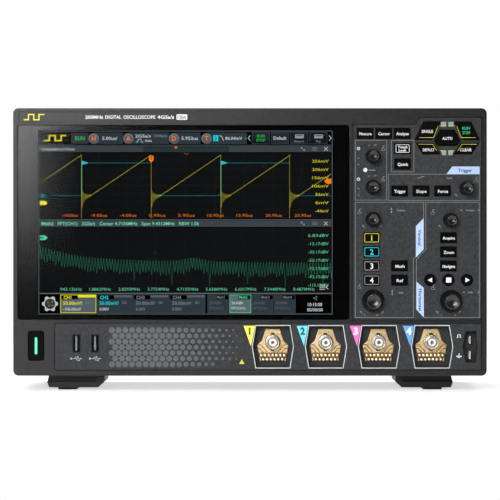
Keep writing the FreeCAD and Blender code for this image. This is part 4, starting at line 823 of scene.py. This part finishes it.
def goldPlate(x, z, backY):
    # the cells of a square grid that lie on the plate, clear of the barrel's hole and its two keyways,
    # with a flat back and straight edges
    step = 0.16
    gx, gz = np.meshgrid(np.arange(-12.2, 12.21, step), np.arange(-15.0, 10.3, step), indexing="ij")
    around = np.hypot(gx, gz)
    keyway = (np.abs(gx) < 1.35) & (around < 6.8)
    hole = np.where(keyway, 6.8, gold["hole"])
    depth = np.minimum(insideDepth(gx, gz, plateOutline), np.where(keyway, -0.5, around - hole))
    height, cut, wearAndGlint = goldHeight(gx, gz)
    rounding = gold["edge"] * (1 - np.clip(depth / gold["edge"], 0, 1)) ** 2
    height = np.maximum(height - rounding, 0.25)
    used = depth > 0
    cell = used[:-1, :-1] & used[1:, :-1] & used[1:, 1:] & used[:-1, 1:]
    rows, columns = gx.shape
    index = np.arange(rows * columns).reshape(rows, columns)
    quads = np.stack([index[:-1, :-1], index[1:, :-1], index[1:, 1:], index[:-1, 1:]], -1)
    front = quads[cell]
    back = front[:, ::-1] + rows * columns
    # an edge face wherever the next cell is missing, between that side's two corners
    padded = np.pad(cell, 1)
    neighbours = ((padded[2:, 1:-1], 1, 2), (padded[:-2, 1:-1], 3, 0),
                  (padded[1:-1, 2:], 2, 3), (padded[1:-1, :-2], 0, 1))
    sides = []
    for beside, first, second in neighbours:
        rim = quads[cell & ~beside]
        a, b = rim[:, first], rim[:, second]
        sides.append(np.stack([b, a, a + rows * columns, b + rows * columns], -1))
    faces = np.vstack([front, back] + sides)
    flat = lambda y: np.stack([gx + x, y, gz + z], -1).reshape(-1, 3)
    points = np.vstack([flat(backY - height), flat(np.full_like(height, backY))])
    keep = np.unique(faces)
    renumber = np.zeros(len(points), int)
    renumber[keep] = np.arange(len(keep))
    values = [np.concatenate([value.ravel(), np.zeros(value.size)])[keep] for value in (cut, wearAndGlint)]
    return points[keep], renumber[faces].tolist(), values


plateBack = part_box("ground_plates")[1].y / mm
for k, x in enumerate(channelX):
    points, faces, values = goldPlate(x, barrelZ, plateBack)
    plate = newPiece("ground_plate_%d" % (k + 1), points, faces, "gold", "case", "gold_plate", False)
    # the painted groove shade and the painted tooth-top highlight, kept as point values on the plate
    for label, value in zip(("tarnish", "shine"), values):
        plate.data.attributes.new(label, "FLOAT", "POINT").data.foreach_set("value", value)
    if k == 0:
        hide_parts("ground_plates")
print("ground plates")


# coaxial sockets: barrel with a lip and two lugs, white ring and contact

socket = {"barrel": 4.83, "bore": 4.05, "long": 10.5, "lug": 1.0, "lugReach": 5.5, "lugBack": 4.5}


def coaxial(x, face, z, way):
    # way is -1 towards the front and 1 towards the back
    r, bore, long = socket["barrel"], socket["bore"], socket["long"]
    shell = softened([
        (r + 1.5, -2.4), (r + 1.5, -0.3), (r, -0.3), (r, 1.5), (r - 0.35, 1.7), (r - 0.35, 3.6), (r, 3.8),
        (r, long - 0.5), (r - 0.2, long), (bore + 0.12, long), (bore, long - 0.3), (bore, 2.2), (bore - 1.0, 2.0),
        (bore - 1.2, -2.4), (r + 1.5, -2.4),
    ], 0.15, 3)
    ring = softened([(3.95, 1.9), (3.95, 2.6), (3.2, 2.8), (3.1, 8.9), (2.8, 9.2), (1.5, 9.2), (1.3, 8.9),
                     (1.25, 6.8), (1.2, 1.9), (3.95, 1.9)], 0.15, 3)
    pin = softened([(0.01, 1.9), (0.95, 1.9), (0.95, 8.2), (0.7, 8.5), (0.32, 8.5), (0.3, 7.2), (0.01, 7.1)], 0.08, 3)
    made = []
    for profile, around in ((shell, 56), (ring, 40), (pin, 20)):
        profile = profile * [1, way]
        points, faces = turnedShape(profile, (x, face, z), around)
        made.append((points, faces if way < 0 else [f[::-1] for f in faces]))
    lugs = []
    for side in (-1, 1):
        profile = softened([(0.01, 3.9), (socket["lug"], 3.9), (socket["lug"], socket["lugReach"]),
                            (0.01, socket["lugReach"])], 0.25, 4)
        angle = np.linspace(0, 2 * math.pi, 20, endpoint=False)
        lx = x + profile[:, :1] * np.cos(angle)
        ly = face + way * (socket["long"] - socket["lugBack"]) + profile[:, :1] * np.sin(angle)
        lz = z + side * np.repeat(profile[:, 1:], 20, 1)
        faces = gridFaces(len(profile), 20)
        lugs.append((np.stack([lx, ly, lz], -1).reshape(-1, 3), faces if side > 0 else [f[::-1] for f in faces]))
    return made, lugs


# the three rear sockets stand on the floor of the connector bay
bay = {"x": -147.07, "y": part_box("rear_cover")[1].y / mm - 12.0, "z": 38.4, "pitch": 21}
places = [(x, plateBack, barrelZ, -1) for x in channelX]
places += [(bay["x"] + bay["pitch"] * k, bay["y"], bay["z"], 1) for k in range(3)]
shells, rings, pins = [], [], []
for place in places:
    made, lugs = coaxial(*place)
    shells += [made[0]] + lugs
    rings.append(made[1])
    pins.append(made[2])
shellPiece = newPiece("socket_shells", *joined(shells), "nickel", "case", "nickel_metal")
newPiece("socket_insulators", *joined(rings), "white", "case", "nickel_metal")
newPiece("socket_contacts", *joined(pins), "contact", "case", "gold_plate")
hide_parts("bnc_jacks")
print("coaxial sockets")


# the picture on the display, drawn on its own 1280 by 800 dots

display = {"left": glassLow[0] + 16.1, "low": glassLow[2] + 4.4, "wide": 221.4, "tall": 137.9, "dots": 1280}
dotSize = display["wide"] / display["dots"]
pictureY = glassHigh[1] + 0.09
picture = newMarks(pictureY, 0.008)


def dot(points):
    points = np.asarray(points, float)
    return np.stack([display["left"] + points[:, 0] * dotSize,
                     display["low"] + display["tall"] - points[:, 1] * dotSize], 1)


def area(x0, y0, x1, y1, colour, level=1):
    mark(picture, dot([(x0, y0), (x1, y0), (x1, y1), (x0, y1)]), colour, level)


def trace(points, width, colour, level=4, closed=False):
    stroke(picture, dot(points), width * dotSize, colour, closed, level)


def caption(text, x, y, size, colour, align=0.0, level=6, wide=None, weight=0.012):
    # wide is the width of the text in dots
    (px, pz), = dot([(x, y)])
    wide = wide and wide * dotSize
    word(picture, text, px, pz, size * dotSize, colour, align, wide=wide, level=level, weight=weight)


def frameBox(x0, y0, x1, y1, width, colour, level=3):
    trace([(x0, y0), (x1, y0), (x1, y1), (x0, y1)], width, colour, level, True)


tone = {
    "bar": (60, 66, 72), "tile": (46, 56, 64), "edge": (92, 100, 106), "rim": (60, 68, 74), "plot": (15, 16, 17),
    "orange": (250, 128, 16), "text": (200, 204, 206), "dimText": (120, 128, 134), "yellow": (240, 228, 20),
    "black": (0, 0, 0), "grid": (28, 30, 31), "active": (84, 96, 104), "greenText": (110, 220, 170),
    "math": (90, 220, 160), "scale": (96, 196, 150), "faint": (88, 96, 102),
}
area(-4, -4, 1284, 801, tone["edge"], 0)
area(0, 0, 1280, 797, tone["black"], 1)
# top bar
area(2, 2, 134, 56, tone["black"], 2)
trace([(20, 40), (44, 40), (44, 18), (70, 18), (70, 40), (96, 40), (96, 18), (118, 18)], 5, tone["yellow"])
area(136, 2, 1278, 60, tone["black"], 2)
area(140, 6, 216, 54, (54, 54, 56), 3)
caption("RUN", 178, 30, 17, (30, 190, 110), 0.5, wide=42)
for left, right in ((236, 366), (390, 568), (590, 706), (732, 908)):
    area(left, 5, right, 55, (46, 56, 64), 3)
badges = (("H", 238), ("A", 390), ("D", 590), ("T", 732))
for letter, x in badges:
    (px, pz), = dot([(x, 31)])
    disc(picture, px, pz, 25 * dotSize, tone["black"], 4, 24)
    disc(picture, px, pz, 23 * dotSize, (112, 114, 118), 5, 24)
    disc(picture, px, pz - 4 * dotSize, 18 * dotSize, (88, 90, 94), 6, 24)
    caption(letter, x, 31, 20, tone["orange"], 0.5, 8, weight=0.02)
caption("5.00us/", 276, 30, 14, tone["text"], wide=66)
caption("2GSa/s", 420, 20, 13, tone["text"], wide=68)
caption("100kpts", 502, 19, 11, tone["dimText"], wide=58)
trace([(422, 46), (432, 46), (432, 34), (446, 34), (446, 46), (456, 46)], 2, tone["text"])
caption("Auto", 462, 40, 11, tone["text"])
caption("5.952us", 622, 30, 14, tone["text"], wide=72)
area(762, 17, 783, 42, (20, 224, 232), 4)
caption("2", 772, 30, 15, tone["black"], 0.5, 7, weight=0.03)
trace([(788, 18), (798, 22), (806, 40)], 2.5, tone["text"])
caption("86.04mV", 814, 30, 13, tone["text"], wide=74)
disc(picture, *dot([(903, 31)])[0], 3 * dotSize, (60, 200, 60), 5, 8)
buttons = (("RUN STOP", (40, 170, 60)), ("Default", tone["text"]), ("Measure", tone["dimText"]),
           ("Flex", tone["dimText"]))
for k, (label, colour) in enumerate(buttons):
    x = 931 + k * 84
    area(x, 4, x + 76, 54, (40, 47, 54), 2)
    frameBox(x, 4, x + 76, 54, 1.6, (66, 74, 80), 3)
    if k == 0:
        for line, y in zip(label.split(), (20, 38)):
            caption(line, x + 38, y, 12, colour, 0.5, weight=0.03)
    elif k == 1:
        caption(label, x + 38, 29, 14, colour, 0.5)
    else:
        area(x + 20, 13, x + 58, 30, (150, 156, 160), 4)
        area(x + 24, 17, x + 54, 21, (60, 66, 70), 5)
        caption(label, x + 38, 43, 9, colour, 0.5)
trace([(923, 18), (914, 29), (923, 40)], 2.4, tone["text"])
trace([(1268, 18), (1277, 29), (1268, 40)], 2.4, tone["text"])


def titleBar(top, bottom):
    area(2, top, 1278, bottom, tone["bar"], 2)
    area(2, top - 4, 1278, top - 2, tone["edge"], 2)
    middle = (top + bottom) / 2
    trace([(1246, middle - 8), (1262, middle + 8)], 2.2, tone["text"])
    trace([(1262, middle - 8), (1246, middle + 8)], 2.2, tone["text"])
    for shift in (-6, 0, 6):
        trace([(1194, middle + shift), (1216, middle + shift)], 2.0, tone["dimText"])
    for dx, dy in ((0, -4), (10, 5)):
        (px, pz), = dot([(1148 + dx, middle + dy)])
        disc(picture, px, pz, 5 * dotSize, tone["dimText"], 4, 10)


titleBar(63, 90)
caption("Waveform View", 10, 77, 13, (176, 182, 184), wide=146)
area(454, 66, 830, 88, (30, 44, 48), 3)
wave = np.linspace(454, 830, 61)
trace(np.stack([wave, 78 + 6 * np.cos(np.arange(61) * math.pi)], 1), 1.8, (52, 74, 76), 4)
mark(picture, dot([(590, 67), (606, 67), (598, 77)]), tone["orange"], 6)

# yellow and cyan traces
plot = {"top": 93, "low": 380, "left": 2, "right": 1276, "drops": (185, 490, 794, 1095)}
area(plot["left"], plot["top"], plot["right"], plot["low"], tone["plot"], 2)
for k in range(1, 10):
    x = plot["left"] + k * 127.4
    trace([(x, plot["top"]), (x, plot["low"])], 1.4, tone["grid"], 3)
for k in range(1, 8):
    y = plot["top"] + k * 35.9
    trace([(plot["left"], y), (plot["right"], y)], 1.2, tone["grid"], 3)
for k in range(50):
    x = plot["left"] + 12 + k * 25.5
    trace([(x, 233), (x, 240)], 1.2, (52, 54, 54), 3)
peak, foot, period = 103.0, 281.0, 304.6
for drop in (-119.6,) + plot["drops"]:
    start, end = drop + 40, drop + period
    low, high = max(start, plot["left"]), min(end, plot["right"])
    rise = lambda x: foot + (peak - foot) * (x - start) / (end - start)
    trace([(low, rise(low)), (high, rise(high))], 1.2, (206, 198, 40), 5)
for drop in plot["drops"]:
    trace([(drop, peak), (drop, plot["low"])], 1.6, (150, 144, 34), 5)
    # ringing that dies away: dense strokes between two closing curves
    ringX = np.linspace(drop + 2, drop + 42, 30)
    fade = np.exp(-(ringX - drop) / 15.0)
    ringY = 292 - 12 * (ringX - drop) / 40 + 46 * fade * np.cos(np.arange(30) * math.pi)
    trace(np.stack([ringX, ringY], 1), 1.8, (170, 164, 36), 5)
    mark(picture, dot([(drop, 240), (drop + 3, 266), (drop + 30, 284), (drop + 16, 294), (drop + 8, 312),
                       (drop + 2, 334)]), (78, 76, 26), 4)
for start, end, y in ((2, 185, 281), (190, 487, 138), (494, 792, 281), (800, 1094, 138), (1100, 1276, 281)):
    trace([(start + (36 if start == 2 else 0), y), (end, y)], 1.3, (20, 140, 150), 4)
for x in (186, 795):
    trace([(x, 138), (x, 281)], 2.4, (110, 190, 130), 6)
    mark(picture, dot([(x, 128), (x + 26, 136), (x + 26, 140), (x, 146)]), (40, 190, 200), 6)
mark(picture, dot([(480, 106), (500, 106), (500, 126), (490, 136), (480, 126)]), tone["orange"], 7)
caption("T", 490, 117, 14, (60, 30, 0), 0.5, 8)
mark(picture, dot([(1246, 218), (1258, 207), (1278, 207), (1278, 229), (1258, 229)]), tone["orange"], 7)
trace([(634, 94), (644, 101), (654, 94)], 2.4, (150, 84, 20), 6)
mark(picture, dot([(3, 272), (28, 272), (38, 281), (28, 290), (3, 290)]), (14, 80, 86), 7)
caption("2", 14, 281, 13, (30, 220, 226), 0.5, 8)
mark(picture, dot([(3, 304), (26, 304), (36, 313), (26, 322), (3, 322)]), (250, 240, 20), 7)
caption("1", 14, 313, 13, (40, 40, 0), 0.5, 8)
for k, value in enumerate((256, 206, 156, 106, 56, 6, -44)):
    wide = 72 if value > 99 else 58
    caption("%dmV" % value, 1266, 130 + 36.3 * k, 12.5, (214, 204, 30), 1.0, 7, wide=wide, weight=0.0)
for k in range(9):
    moment = "%.2fus" % (-14.05 + 5 * k)
    caption(moment, 134 + 127.4 * k, 367, 12.5, (214, 108, 24), 0.5, 7, wide=72, weight=0.0)

# spectrum of channel 1
titleBar(388, 417)
caption("Math2   FFT(CH1)   2GSa/s   Center 4.7156MHz   Span 9.4312MHz   RBW 1.0k", 10, 403, 14,
        tone["greenText"], wide=690)
area(plot["left"], 420, plot["right"], 704, tone["plot"], 2)
for k in range(1, 10):
    x = plot["left"] + k * 127.4
    trace([(x, 420), (x, 704)], 1.4, tone["grid"], 3)
combX = np.arange(3, 1276, 12.7)
u = combX / 1276
top = 496 + 66 * (1 - np.exp(-u * 9)) + 14 * u - 16 * np.exp(-((u - 0.53) / 0.045) ** 2)
draw = np.random.default_rng(7)
deep = 44 + 22 * draw.random(len(combX)) + 44 * (np.arange(len(combX)) % 13 == 6) * (combX > 300)
zig = np.stack([np.repeat(combX, 2), np.repeat(top, 2)], 1)
zig[1::2, 0] += 6.3
zig[1::2, 1] += deep
trace(zig, 2.4, (50, 142, 108), 5)
mark(picture, dot([(3, 455), (26, 455), (36, 465), (26, 475), (3, 475)]), tone["math"], 7)
caption("M2", 13, 465, 10, (0, 40, 20), 0.5, 8)
for k in range(7):
    caption("%.2fdBV" % (6.83 - 20 * k), 1266, 455 + 36.2 * k, 12.5, tone["scale"], 1.0, 7, wide=90, weight=0.0)
for k in range(9):
    text = "943.12kHz" if k == 0 else "%.4fMHz" % (0.9431 * (k + 1))
    caption(text, 92 + 127.4 * k, 690, 13, tone["scale"], 0.0, 7, wide=94, weight=0.0)
for y in (672, 681, 690):
    trace([(1226, y), (1250, y)], 3, tone["text"], 8)
trace([(1264, 672), (1254, 681), (1264, 690)], 3, tone["text"], 8)

# bottom bar: settings wheel, four channels, math and the clock
area(2, 706, 1278, 711, tone["edge"], 2)
area(4, 714, 90, 794, tone["black"], 2)
(gearX, gearZ), = dot([(47, 754)])
angle = np.linspace(0, 2 * math.pi, 96, endpoint=False)
gearRadius = (31 + 4 * np.tanh(2.5 * np.cos(6 * angle))) * dotSize
mark(picture, np.stack([gearX + gearRadius * np.cos(angle), gearZ + gearRadius * np.sin(angle)], 1), (196, 198, 200), 3)
disc(picture, gearX, gearZ, 23 * dotSize, (52, 52, 52), 5, 24)
for dx, dy in ((-8, -6), (9, -8), (-3, 8), (11, 7)):
    (px, pz), = dot([(47 + dx, 754 + dy)])
    disc(picture, px, pz, 4 * dotSize, (120, 116, 112), 6, 8)
channelTiles = ((93, "CH1", tone["yellow"], True), (252, "CH2", (20, 214, 222), False),
                (411, "CH3", tone["dimText"], False), (570, "CH4", tone["dimText"], False))
for x, label, colour, active in channelTiles:
    area(x, 714, x + 156, 794, tone["active"] if active else tone["tile"], 2)
    area(x + 2, 716, x + 76, 734, tone["black"], 3)
    area(x + 76, 716, x + 154, 726, colour if active else (84, 92, 98), 3)
    frameBox(x + 1, 715, x + 155, 793, 2.4, colour if active else tone["rim"], 4)
    caption(label, x + 14, 726, 14, colour, weight=0.02)
    caption("50.00mV/", x + 12, 751, 15, colour, wide=84)
    caption("DC", x + 112, 749, 10, tone["dimText"])
    offset = "-106.00mV" if active else "0.00V"
    caption(offset, x + 12, 777, 13, tone["text"] if x < 300 else tone["dimText"])
for k in range(4):
    x = 736 + k * 97
    active = k == 1
    area(x, 714, x + 94, 794, (88, 108, 106) if active else tone["tile"], 2)
    frameBox(x + 1, 715, x + 93, 793, 2.2, tone["math"] if active else tone["rim"], 4)
    area(x + 38, 716, x + 92, 734, tone["black"], 3)
    caption("Math%d" % (k + 1), x + 42, 725, 10.5, tone["math"] if active else tone["dimText"])
    caption("20.0dB/", x + 8, 750, 12, tone["text"] if active else tone["faint"])
    caption("FFT(CH1)", x + 8, 773, 11, tone["text"] if active else tone["faint"])
area(1134, 714, 1276, 794, tone["black"], 2)
trace([(1200, 727), (1206, 727), (1213, 720), (1213, 738), (1206, 731), (1200, 731)], 2, tone["dimText"], 4, True)
caption("10:15:08", 1206, 757, 14, tone["text"], 0.5)
caption("00/00/00", 1206, 780, 14, tone["text"], 0.5)
printed("display_picture", picture, "screen", "case", "display_module", 0.004)
print("display picture:", len(picture["faces"]), "faces")


# black paint behind the glass, round the display


def ringBand(name, outer, inner, y, material, slot):
    points = [(x, y, z) for x, z in list(outer) + list(inner)]
    count = len(outer)
    faces = [[k, (k + 1) % count, count + (k + 1) % count, count + k] for k in range(count)]
    return newPiece(name, points, faces, material, "case", slot, False)


low, high = glassLow, glassHigh
outer = roundedBox(low[0] + 0.1, low[2] + 0.1, high[0] - 0.1, high[2] - 0.1, 2.4)
inner = roundedBox(display["left"] - 1.0, display["low"] - 1.0, display["left"] + display["wide"] + 1.0,
                   display["low"] + display["tall"] + 1.0, 0.4)
thicken(ringBand("glass_paint", outer, inner, high[1] - 0.03, "glassPaint", "display_module"), 0.02)


def loopedShape(loops):
    # a closed skin through a row of outlines with equal numbers of points, each at its own depth
    points = np.vstack([np.insert(path, 1, y, axis=1) for path, y in loops])
    return points, gridFaces(len(loops), len(loops[0][0]))


def shrunk(outline, share, x, z):
    # an outline drawn in towards a point, to a share of its size
    return outline * share + [x * (1 - share), z * (1 - share)]


def capOutline(inset):
    return roundedBox(buttonLow[0] + inset, buttonLow[2] + inset, buttonHigh[0] - inset, buttonHigh[2] - inset,
                      2.6 - inset, 6)

# power button: a rounded cap with a soft front edge, and its light bar
buttonLow, buttonHigh = [np.array(c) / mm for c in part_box("power_button")]
bx, bz = (buttonLow[0] + buttonHigh[0]) / 2, (buttonLow[2] + buttonHigh[2]) / 2
front, back = buttonLow[1], buttonHigh[1]
closing = roundedBox(bx - 0.05, bz - 0.05, bx + 0.05, bz + 0.05, 0.04, 6)
capShape = loopedShape([(closing, back), (capOutline(0), back), (capOutline(0), front + 0.9),
                        (capOutline(0.3), front + 0.25), (capOutline(0.9), front), (closing, front)])
capPiece = newPiece("power_cap", *capShape, "key", "power_button", "power_plastic", False)
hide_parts("power_button")
barMarks = newMarks(front - 0.03)
mark(barMarks, roundedBox(bx - 1.05, bz - 6.5, bx + 1.05, bz + 6.5, 0.8), (50, 190, 128))
mark(barMarks, roundedBox(bx - 0.5, bz - 6.0, bx + 0.5, bz + 6.0, 0.4), (120, 226, 180), 1)
printed("power_light", barMarks, "lightBar", "power_button", "power_plastic", 0.02)

# USB sockets: a folded shell, open at the front, round a pale tongue
usbShells, usbTongues = [], []
for x in usbX:
    outline = roundedBox(x - 2.72, usbZ - 6.55, x + 2.72, usbZ + 6.55, 0.5)
    hollow = roundedBox(x - 2.4, usbZ - 6.2, x + 2.4, usbZ + 6.2, 0.35)
    shell = [(shrunk(outline, 0.02, x, usbZ), 14.4), (outline, 14.4), (outline, 0.65),
             (shrunk(outline, 0.999, x, usbZ), 0.5), (hollow, 0.5), (hollow, 0.7), (hollow, 14.0),
             (shrunk(hollow, 0.02, x, usbZ), 14.0)]
    bar = roundedBox(x - 1.05, usbZ - 5.5, x + 0.45, usbZ + 5.5, 0.25)
    end = shrunk(bar, 0.02, x - 0.9, usbZ)
    tongue = [(end, 12.8), (bar, 12.8), (bar, 1.7), (shrunk(bar, 0.97, x - 0.9, usbZ), 1.4), (end, 1.4)]
    usbShells.append(loopedShape([(path, frontY + y) for path, y in shell]))
    usbTongues.append(loopedShape([(path, frontY + y) for path, y in tongue]))
usbPiece = newPiece("usb_shells", *joined(usbShells), "darkNickel", "case", "nickel_metal", False)
newPiece("usb_tongues", *joined(usbTongues), "tongue", "case", "nickel_metal", False)
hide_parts("usb_ports")
print("power light and USB sockets")


# floor, backdrop and studio light


def stagePiece(name, points, faces, colour):
    mesh = bpy.data.meshes.new(name)
    mesh.from_pydata([tuple(float(v) for v in p) for p in points], [], faces)
    mesh.polygons.foreach_set("use_smooth", [True] * len(mesh.polygons))
    piece = bpy.data.objects.new(name, mesh)
    bpy.context.scene.collection.objects.link(piece)
    material, _, shader = newMaterial(name + "Paint")
    shader.inputs["Base Color"].default_value = (colour, colour, colour, 1)
    shader.inputs["Roughness"].default_value = 0.8
    mesh.materials.append(material)
    return piece, shader


floorCorners = [(-1.1, -0.45, 0), (1.1, -0.45, 0), (1.1, 0.7, 0), (-1.1, 0.7, 0)]
floorShader = stagePiece("floor", floorCorners, [[0, 1, 2, 3]], 0.85)[1]
floorShader.inputs["Emission Color"].default_value = (1, 1, 1, 1)
floorShader.inputs["Emission Strength"].default_value = 0.62


def areaLight(name, place, target, size, power):
    data = bpy.data.lights.new(name, "AREA")
    data.shape = "RECTANGLE"
    data.size, data.size_y = size
    data.energy = power
    light = bpy.data.objects.new(name, data)
    light.location = place
    direction = mathutils.Vector(target) - mathutils.Vector(place)
    light.rotation_euler = direction.to_track_quat("-Z", "Y").to_euler()
    bpy.context.scene.collection.objects.link(light)


areaLight("key_light", (-0.72, -0.85, 0.7), (-0.14, 0, 0.16), (0.45, 0.35), 3.3)
areaLight("top_glow", (-0.22, -1.6, 0.74), (-0.05, 0, 0.2), (0.4, 0.16), 11)
areaLight("spark_light", (-0.38, -1.15, 0.62), (0, 0, 0.1), (0.14, 0.14), 1.2)
areaLight("top_light", (0, 0.5, 2.2), (0, 0, 0), (2.4, 1.2), 30)
areaLight("fill_light", (1.9, -1.6, 0.9), (0, 0, 0.1), (1.2, 1.2), 0.3)

# a soft card behind the camera on the left: brightest at its upper left, fading right and down
card = {"y": frontY * mm - 2.7, "left": -1.5, "right": -0.1, "low": 0.0, "high": 1.0, "glow": 17.0}
cardPiece, cardShader = stagePiece("card", [
    (card["left"], card["y"], card["low"]), (card["right"], card["y"], card["low"]),
    (card["right"], card["y"], card["high"]), (card["left"], card["y"], card["high"])], [[3, 2, 1, 0]], 0.0)
tree = cardPiece.data.materials[0].node_tree
place = objectPlace(tree)
across = node(tree, "MapRange", From_Min=-0.37, From_Max=-0.52, To_Max=card["glow"])
upward = node(tree, "MapRange", From_Min=0.0, From_Max=0.5)
product = tree.nodes.new("ShaderNodeMath")
product.operation = "MULTIPLY"
for index, (ramp, axis) in enumerate(((across, "X"), (upward, "Z"))):
    ramp.interpolation_type = "SMOOTHSTEP"
    tree.links.new(place[axis], ramp.inputs["Value"])
    tree.links.new(ramp.outputs["Result"], product.inputs[index])
tree.links.new(product.outputs[0], cardShader.inputs["Emission Strength"])
cardShader.inputs["Emission Color"].default_value = (1, 1, 1, 1)

world = bpy.data.worlds.new("studio")
bpy.context.scene.world = world
world.use_nodes = True
tree = world.node_tree
surround = tree.nodes["Background"]
surround.inputs["Color"].default_value = (1, 1, 1, 1)
surround.inputs["Strength"].default_value = 0.08
seen = tree.nodes.new("ShaderNodeBackground")
seen.inputs["Color"].default_value = (1, 1, 1, 1)
seen.inputs["Strength"].default_value = 1.0
path = tree.nodes.new("ShaderNodeLightPath")
mixed = tree.nodes.new("ShaderNodeMixShader")
tree.links.new(path.outputs["Is Camera Ray"], mixed.inputs["Fac"])
tree.links.new(surround.outputs["Background"], mixed.inputs[1])
tree.links.new(seen.outputs["Background"], mixed.inputs[2])
tree.links.new(mixed.outputs["Shader"], tree.nodes["World Output"].inputs["Surface"])
print("stage")
